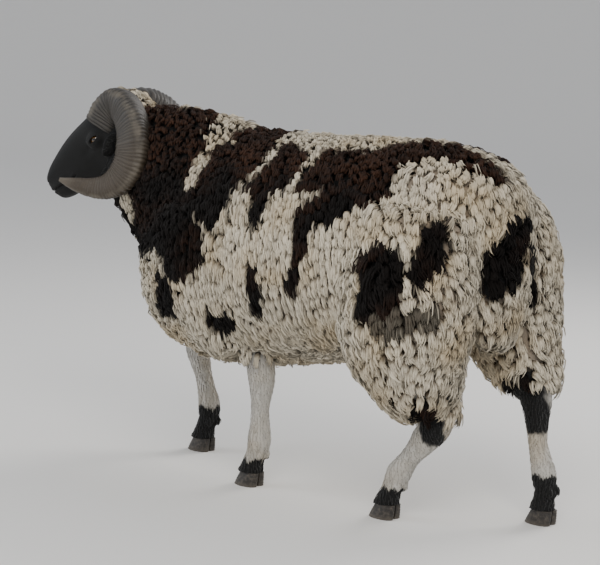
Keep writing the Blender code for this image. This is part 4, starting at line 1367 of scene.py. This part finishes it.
def locks(name, centres, side, widths, depths, sides, values, chart):
    """Closed tapering locks along their centre lines, joined as one mesh with its bake map."""
    count, rings = centres.shape[:2]
    side, top = squared(centres, side)
    angle = 2 * math.pi * np.arange(sides) / sides
    around = (
        centres[:, :, None]
        + side[:, :, None] * np.cos(angle)[:, None] * widths[:, :, None, None]
        + top[:, :, None] * np.sin(angle)[:, None] * depths[:, :, None, None]
    )
    verts = np.concatenate([around[:, :-1].reshape(count, -1, 3), centres[:, -1:]], axis=1)
    each = verts.shape[1]
    faces = []
    for k in range(rings - 2):
        for j in range(sides):
            a, b = k * sides + j, k * sides + (j + 1) % sides
            faces.append((a, b, b + sides))
            faces.append((a, b + sides, a + sides))
    last = (rings - 2) * sides
    for j in range(sides):
        faces.append((last + j, last + (j + 1) % sides, each - 1))
    for j in range(1, sides - 1):
        faces.append((0, j + 1, j))
    faces = (np.arange(count)[:, None, None] * each + np.array(faces)[None]).reshape(-1, 3)
    mesh = bpy.data.meshes.new(name)
    mesh.vertices.add(count * each)
    mesh.vertices.foreach_set("co", verts.astype(np.float32).ravel())
    mesh.loops.add(faces.size)
    mesh.loops.foreach_set("vertex_index", faces.astype(np.int32).ravel())
    mesh.polygons.add(len(faces))
    mesh.polygons.foreach_set("loop_start", np.arange(0, faces.size, 3, dtype=np.int32))
    mesh.polygons.foreach_set("loop_total", np.full(len(faces), 3, np.int32))
    mesh.update()
    along = np.append(np.repeat(STEPS[rings][:-1], sides), STEPS[rings][-1])
    turn = np.minimum(np.arange(sides), sides - np.arange(sides)) / (sides / 2)
    turn = np.append(np.tile(turn, rings - 1), 0.5)
    put(mesh, "along", np.tile(along, count))
    put(mesh, "across", np.tile(turn, count))
    for key, value in values.items():
        put(mesh, key, np.repeat(value, each, axis=0))
    corner = (chart[:, None] + BAKE_SPAN * (np.stack([turn, along], 1)[None] - 0.5)).reshape(-1, 2)
    layer = mesh.uv_layers.new(name="OFBake")
    layer.uv.foreach_set("vector", corner[faces.ravel()].astype(np.float32).ravel())
    obj = link(name, mesh)
    mesh.shade_smooth()
    return obj


def chart_of(points, origin, along, up):
    """Each point's place on an unwrap round a line: along it, and round it."""
    along, up = Vector(along).normalized(), Vector(up)
    up = (up - along * up.dot(along)).normalized()
    side = along.cross(up)
    away = points - np.array(origin)
    far = away @ np.array(along)
    angle = np.arctan2(away @ np.array(side), away @ np.array(up))
    chart = np.stack([far, angle], 1)
    low, high = chart.min(0), chart.max(0)
    return 0.01 + 0.98 * (chart - low) / (high - low)


def region_of(points):
    """The piece of the fleece that each place belongs to, as a number."""
    x, y, _ = points.T
    haunch = x >= HAUNCH_START
    region = np.zeros(len(points), int)
    region[~haunch & (y > 0)] = 1
    region[~haunch & (x >= SHOULDER_END) & (y <= 0)] = 2
    region[haunch & (y <= 0)] = 3
    region[haunch & (y > 0)] = 4
    region[(x > TAIL_START) & (np.abs(y - TAIL_MIDDLE) < TAIL_HALF)] = 5
    region[x < NECK_END] = 6
    return region


def woolly(points):
    """Where wool roots: off the bare shanks and clear of the face."""
    x, y, z = points.T
    p = head_places(points)
    left_hock = (x > HAUNCH_START) & (y < 0)
    legs = np.where(left_hock, z < HOCK_WOOL, (z < LEG_WOOL) & (np.abs(y) > BELLY_HALF))
    face = (p[:, 0] > -0.012 - 0.25 * (p[:, 2] + 0.03)) & (p[:, 2] > THROAT)
    face &= ~((p[:, 0] < POLL_END) & (p[:, 2] > 0.0) & (np.abs(p[:, 1]) < POLL_HALF))
    ears = (x < -0.395) & (np.abs(p[:, 1]) > 0.058) & (p[:, 2] > THROAT)
    return ~legs & ~face & ~ears


def size_at(points):
    """The staples' size at a place against those of the flank."""
    x, y, z = points.T
    haunch = np.clip((x - 0.28) / 0.08, 0, 1)
    back = np.clip((z - 0.66) / 0.05, 0, 1) * np.clip((x + 0.15) / 0.05, 0, 1)
    return 1 + 0.28 * haunch * (1 - 0.6 * back) - 0.22 * back - 0.18 * np.clip((-0.1 - x) / 0.1, 0, 1)


def staple_lines(tree, spots, normals, size, sizes, rng):
    """How the staples stand out of the skin and then hang: a reader of their centre lines."""
    count = len(spots)
    flank = flank_share(spots)
    length = sizes.staple_length * size * (1 + 0.35 * flank) * rng.uniform(0.75, 1.25, count)
    lie = hang(spots, normals) + rng.normal(0, 0.18, (count, 3)) * (1 - 0.7 * flank[:, None])
    places, ups = laid(tree, spots, normals, lie, length, PATH_STEPS)
    side = unit(np.cross(ups[:, 0], places[:, -1] - places[:, 0]))
    depth = sizes.coat_depth * (0.55 + 0.45 * np.minimum(size, 1.05)) * rng.uniform(0.74, 1.04, count)
    droop = depth * rng.uniform(0.05, 0.4, count)
    hook = rng.normal(0, 0.0045, count) * size * (1 - 0.7 * flank)

    def read(t):
        """The centre lines at the shares t of their lengths."""
        far = t ** 1.5 * (PATH_STEPS - 1)
        low = np.minimum(far.astype(int), PATH_STEPS - 2)
        share = (far - low)[None, :, None]
        ground = places[:, low] * (1 - share) + places[:, low + 1] * share
        facing = unit(ups[:, low] * (1 - share) + ups[:, low + 1] * share)
        rise = np.sin(np.clip(t / CREST, 0, 1) * math.pi / 2)
        fall = np.clip((t - CREST) / 0.4, 0, 1) ** 1.6
        height = depth[:, None] * rise - droop[:, None] * fall - 0.004
        turn = hook[:, None] * np.clip((t - 0.5) / 0.5, 0, 1) ** 2
        return ground + facing * height[..., None] + side[:, None] * turn[..., None]

    return read, side


def flank_share(points):
    """Where the staples fall into upright columns: 1 on the flank, 0 elsewhere."""
    x, y, z = points.T
    return (
        np.clip((x + 0.14) / 0.05, 0, 1) * np.clip((0.33 - x) / 0.05, 0, 1)
        * np.clip((0.68 - z) / 0.06, 0, 1) * np.clip((np.abs(y) - 0.1) / 0.05, 0, 1)
    )


def in_columns(tree, spots, normals, rng):
    """Moves the staples' roots on the flank into upright columns."""
    lean = spots[:, 0] + COLUMN_LEAN * spots[:, 2] + COLUMN_WAVER * wander(spots, 0.12)
    column = COLUMN_PITCH * np.round(lean / COLUMN_PITCH)
    moved = flank_share(spots) > 0.5
    spots, normals = spots.copy(), normals.copy()
    spots[:, 0] += np.where(moved, column - lean + rng.normal(0, 0.0006, len(spots)), 0)
    for i in np.flatnonzero(moved):
        place, facing, _, _ = tree.find_nearest(Vector(spots[i]))
        spots[i], normals[i] = place, facing
    return spots, normals


def strands(lines, side, radius, clump, squash, count, rng):
    """Strands that rise side by side from a staple's root and draw together towards its tip."""
    staples = len(radius)
    t = STEPS[STRAND_RINGS]
    square, top = squared(lines, side)
    angle = rng.uniform(0, 2 * math.pi, (staples, count))
    away = np.sqrt((np.arange(count)[None] + rng.random((staples, count))) / count) * radius[:, None]
    shape = 1 - clump[:, None, None] * t[None, None] ** 1.3
    stray = rng.normal(0, STRAY, (2, staples, count)) * radius[:, None]
    reach = t[None, None] ** 2
    across = (np.cos(angle) * away)[..., None] * shape + stray[0][..., None] * reach
    across = across * squash[:, None, None]
    over = (np.sin(angle) * away)[..., None] * shape + stray[1][..., None] * reach
    paths = lines[:, None] + square[:, None] * across[..., None] + top[:, None] * over[..., None]
    back = rng.uniform(-0.3, 1.0, (staples, count, 1)) * t[None, None] * radius[:, None, None]
    paths = paths - unit(np.gradient(lines, axis=1))[:, None] * back[..., None]
    return paths.reshape(-1, len(t), 3)


def cut_pieces(order, per_lock):
    """Splits a region's locks into pieces that each stay under the limit of triangles."""
    return np.array_split(order, max(1, math.ceil(len(order) * per_lock / PIECE_LIMIT)))


def sown(sizes, rng):
    """The staples of the whole fleece: an array with a row for each staple under each value's name."""
    skin = bpy.data.objects["skin"]
    tree = skin_tree(skin)
    spots, normals = scattered(skin, STAPLE_SPOTS, woolly, rng)
    spots, normals = in_columns(tree, spots, normals, rng)
    size = size_at(spots)
    chest = np.clip((-0.08 - spots[:, 0]) / 0.04, 0, 1) * np.clip((0.56 - spots[:, 2]) / 0.06, 0, 1)
    kept = thinned(spots, sizes.staple_spacing * size ** 0.5 * (1 - CHEST_CLOSER * chest))
    spots, normals, size = spots[kept], normals[kept], size[kept]
    read, side = staple_lines(tree, spots, normals, size, sizes, rng)
    middle = read(np.array([STAPLE_MIDDLE]))[:, 0]
    dark = markings(middle)
    top = np.clip((middle[:, 2] - 0.6) / 0.12, 0, 1)
    return {
        "spot": spots,
        "lay": normals,
        "side": side,
        "middle": middle,
        "dark": dark,
        "rust": np.clip(0.05 + 0.7 * top + 0.3 * wander(middle, 0.05, 3.0), 0, 1),
        "lot": rng.random(len(spots)),
        "clump": 0.05 + 0.25 * (1 - dark),
        "squash": 1 - 0.28 * flank_share(spots),
        "radius": sizes.staple_width / 2 * size * rng.uniform(0.9, 1.15, len(spots)),
        "stem": read(STEPS[CORE_RINGS]),
        "line": read(STEPS[STRAND_RINGS]),
    }


def cores(own, chart):
    """The solid middle of each staple."""
    girth = own["radius"][:, None] * CORE_SHAPE
    # The cores get half the lot, which makes them darker than the strands round them: painted shade
    # inside the staple.
    values = {"dark": own["dark"], "rust": own["rust"], "lot": own["lot"] * 0.5, "lay": own["lay"]}
    widths, depths = girth * CORE_WIDTH, girth * CORE_DEPTH
    return locks("core", own["stem"], own["side"], widths, depths, 4, values, chart)


def staple_strands(own, many, chart, rng):
    """The strands round the staples' cores, each with its own markings."""
    paths = strands(own["line"], own["side"], own["radius"], own["clump"], own["squash"], many, rng)
    count = len(paths)
    keys = ("radius", "middle", "rust", "lot", "lay", "side")
    each = {key: np.repeat(own[key], many, axis=0) for key in keys}
    girth = each["radius"][:, None] * rng.uniform(*STRAND_GIRTHS, (count, 1))
    girth = girth * STRAND_SHAPE * math.sqrt(USUAL_STRANDS / many)
    values = {
        "dark": markings(paths[:, 1] * 0.7 + each["middle"] * 0.3),
        "rust": each["rust"],
        "lot": np.clip(each["lot"] + rng.normal(0, 0.25, count), 0, 1),
        "lay": each["lay"],
    }
    return locks("strand", paths, each["side"], girth, girth, 3, values, np.repeat(chart, many, axis=0))


class RAM_OT_fleece(SheepOperator):
    """Build the staples of wool over the body, neck, thighs and tail."""

    bl_idname = "ram.fleece"
    bl_label = "Fleece"

    def execute(self, context):
        rng = np.random.default_rng(SEED)
        coat = sown(context.scene.ram_sizes, rng)
        spots = coat["spot"]
        region = region_of(spots)
        made = wool_material()
        for number, (name, many, *wound) in enumerate(REGIONS):
            order = np.flatnonzero(region == number)
            order = order[np.argsort(spots[order, 0] + spots[order, 2] * 0.2)]
            for part, picks in enumerate(cut_pieces(order, many * STRAND_FACES + CORE_FACES)):
                own = {key: value[picks] for key, value in coat.items()}
                chart = chart_of(own["spot"], *wound)
                parts = [cores(own, chart), staple_strands(own, many, chart, rng)]
                obj = joined(f"{name}_{part + 1}", parts)
                obj.data.shade_smooth()
                obj.data.materials.append(made)
                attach(obj, "root")
        return {"FINISHED"}


def tufts(name, wanted, spacing, length, height, width, chart_line):
    """Short tufts of hair that lie close to the skin wherever wanted says."""
    rng = np.random.default_rng(SEED + 1)
    skin = bpy.data.objects["skin"]
    tree = skin_tree(skin)
    spots, normals = scattered(skin, HAIR_SPOTS, wanted, rng)
    kept = thinned(spots, np.full(len(spots), spacing))
    spots, normals = spots[kept], normals[kept]
    count = len(spots)
    lie = hair_lie(spots) + rng.normal(0, 0.15, (count, 3))
    lengths = length * rng.uniform(0.7, 1.2, count)
    places, ups = laid(tree, spots, normals, lie, lengths, STRAND_RINGS)
    stand = HAIR_STAND[None] * height * rng.uniform(0.6, 1.2, (count, 1))
    lines = places + ups * stand[..., None]
    side = unit(np.cross(ups[:, 0], places[:, -1] - places[:, 0]))
    girth = width / 2 * STRAND_SHAPE * rng.uniform(0.8, 1.2, (count, 1))
    values = {
        "dark": markings(lines[:, 1], SHORT_HAIR_WANDER), "rust": np.zeros(count),
        "lot": rng.random(count), "lay": normals,
    }
    obj = locks(name, lines, side, girth, girth * 0.6, 3, values, chart_of(spots, *chart_line))
    obj.data.materials.append(hair_material(name))
    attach(obj, "root")
    return obj


def hair_lie(points):
    """The way the short hair lies: down the legs, and from the nose back over the face."""
    head = on_head(points)[:, None]
    back = np.array(HEAD_TO_WORLD.to_3x3() @ Vector((-1.0, 0.0, -0.35)))
    return head * back + (1 - head) * np.array([0.12, 0.0, -1.0])


def bare_legs(points):
    """Where the legs carry short hair: from the coronets up into the wool's edge."""
    z = points[:, 2]
    return (z > CORONET + 0.004) & (z < LEG_TOP) & ~woolly(points + [0, 0, 0.012])


def bare_face(points):
    """Where the head's short hair stands off it: under the jaw, on the cheeks and the ears."""
    x, y, z = head_places(points).T
    jaw = (z < -0.055 - 0.1 * x) & (x < 0.19)
    ears = (x < 0.05) & (np.abs(y) > 0.062)
    return (on_head(points) > 0.5) & (jaw | ears)


class RAM_OT_hair(SheepOperator):
    """Build the short hair of the legs and the face."""

    bl_idname = "ram.hair"
    bl_label = "Short hair"

    def execute(self, context):
        legs = tufts("leg_tufts", bare_legs, *LEG_TUFTS, ((0.15, 0, 0), (0, 0, 1), (1, 0, 0)))
        middle = HEAD_TO_WORLD @ Vector((0, 0, -0.03))
        forward = HEAD_TO_WORLD.to_3x3() @ Vector((1, 0, 0))
        face = tufts("face_tufts", bare_face, *FACE_TUFTS, (middle, forward, (0, 0, -1)))
        return {"FINISHED"}


def floor_material():
    made, tree, shader = new_material("studio_floor", 0.9, Specular_IOR_Level=0.2)
    shader.inputs["Base Color"].default_value = (*bpy.context.scene.ram_colours.floor, 1.0)
    return made


def dish():
    """A round floor whose far edge curves up into a wall, so that no horizon shows."""
    profile = [(FLOOR_RADIUS * k / 3, 0.0) for k in range(1, 4)]
    for k in range(1, 13):
        angle = math.pi / 2 * k / 12
        rise = FLOOR_CURVE * (1 - math.cos(angle))
        profile.append((FLOOR_RADIUS + FLOOR_CURVE * math.sin(angle), rise))
    sides = 96
    verts = [(0.0, 0.0, 0.0)]
    for radius, height in profile:
        for j in range(sides):
            angle = 2 * math.pi * j / sides
            verts.append((radius * math.cos(angle), radius * math.sin(angle), height))
    faces = [(0, 1 + j, 1 + (j + 1) % sides) for j in range(sides)]
    for i in range(len(profile) - 1):
        a, b = 1 + i * sides, 1 + (i + 1) * sides
        for j in range(sides):
            k = (j + 1) % sides
            faces.append((a + j, b + j, b + k, a + k))
    floor = mesh_from("floor", verts, faces)
    floor.data.shade_smooth()
    return floor


def area_light(name, place, size, power, colour):
    light = bpy.data.lights.new(name, "AREA")
    light.energy = power
    light.size = size
    light.color = colour
    obj = link(name, light)
    obj.location = place
    obj.rotation_euler = (LIGHT_TARGET - Vector(place)).to_track_quat("-Z", "Y").to_euler()


def sky():
    world = bpy.data.worlds.new("studio")
    world.use_nodes = True
    background = world.node_tree.nodes["Background"]
    background.inputs["Color"].default_value = SKY_COLOUR
    background.inputs["Strength"].default_value = SKY_STRENGTH
    return world


def photo_camera():
    """The camera at the photo's own angle and frame."""
    camera = bpy.data.cameras.new("camera")
    camera.lens = CAMERA_LENS
    camera.sensor_width = SENSOR_WIDTH
    camera.shift_x, camera.shift_y = CAMERA_SHIFT
    obj = link("camera", camera)
    back = Vector((
        math.sin(CAMERA_AZIMUTH) * math.cos(CAMERA_HEIGHT),
        -math.cos(CAMERA_AZIMUTH) * math.cos(CAMERA_HEIGHT),
        math.sin(CAMERA_HEIGHT),
    ))
    place = Matrix.Translation(CAMERA_TARGET + back * CAMERA_DISTANCE)
    facing = (-back).to_track_quat("-Z", "Y").to_matrix().to_4x4()
    obj.matrix_world = place @ facing @ Matrix.Rotation(CAMERA_ROLL, 4, "Z")
    return obj


class RAM_OT_stage(SheepOperator):
    """Build the floor, the lights and the camera."""

    bl_idname = "ram.stage"
    bl_label = "Stage"

    def execute(self, context):
        floor = dish()
        floor.data.materials.append(floor_material())
        for light in LIGHTS:
            area_light(*light)
        context.scene.world = sky()
        context.scene.camera = photo_camera()
        return {"FINISHED"}


class RAM_PT_panel(Panel):
    """Lists the ram's sizes, colours and operators."""

    bl_label = "Jacob ram"
    bl_idname = "RAM_PT_panel"
    bl_space_type = "VIEW_3D"
    bl_region_type = "UI"
    bl_category = "Ram"

    def draw(self, context):
        for operator in OPERATORS:
            self.layout.operator(operator.bl_idname)
        for holder in (context.scene.ram_sizes, context.scene.ram_colours):
            for key in holder.__annotations__:
                self.layout.prop(holder, key)


OPERATORS = (
    RAM_OT_skin, RAM_OT_horns, RAM_OT_eyes, RAM_OT_hooves, RAM_OT_fleece, RAM_OT_hair,
    RAM_OT_stage,
)
CLASSES = (RamSizes, RamColours, *OPERATORS, RAM_PT_panel)


def register():
    for cls in CLASSES:
        bpy.utils.register_class(cls)
    bpy.types.Scene.ram_sizes = PointerProperty(type=RamSizes)
    bpy.types.Scene.ram_colours = PointerProperty(type=RamColours)


def unregister():
    del bpy.types.Scene.ram_sizes
    del bpy.types.Scene.ram_colours
    for cls in reversed(CLASSES):
        bpy.utils.unregister_class(cls)


def main():
    register()
    bpy.ops.ram.skin()
    bpy.ops.ram.horns()
    bpy.ops.ram.eyes()
    bpy.ops.ram.hooves()
    bpy.ops.ram.fleece()
    bpy.ops.ram.hair()
    bpy.ops.ram.stage()


if __name__ == "__main__":
    main()
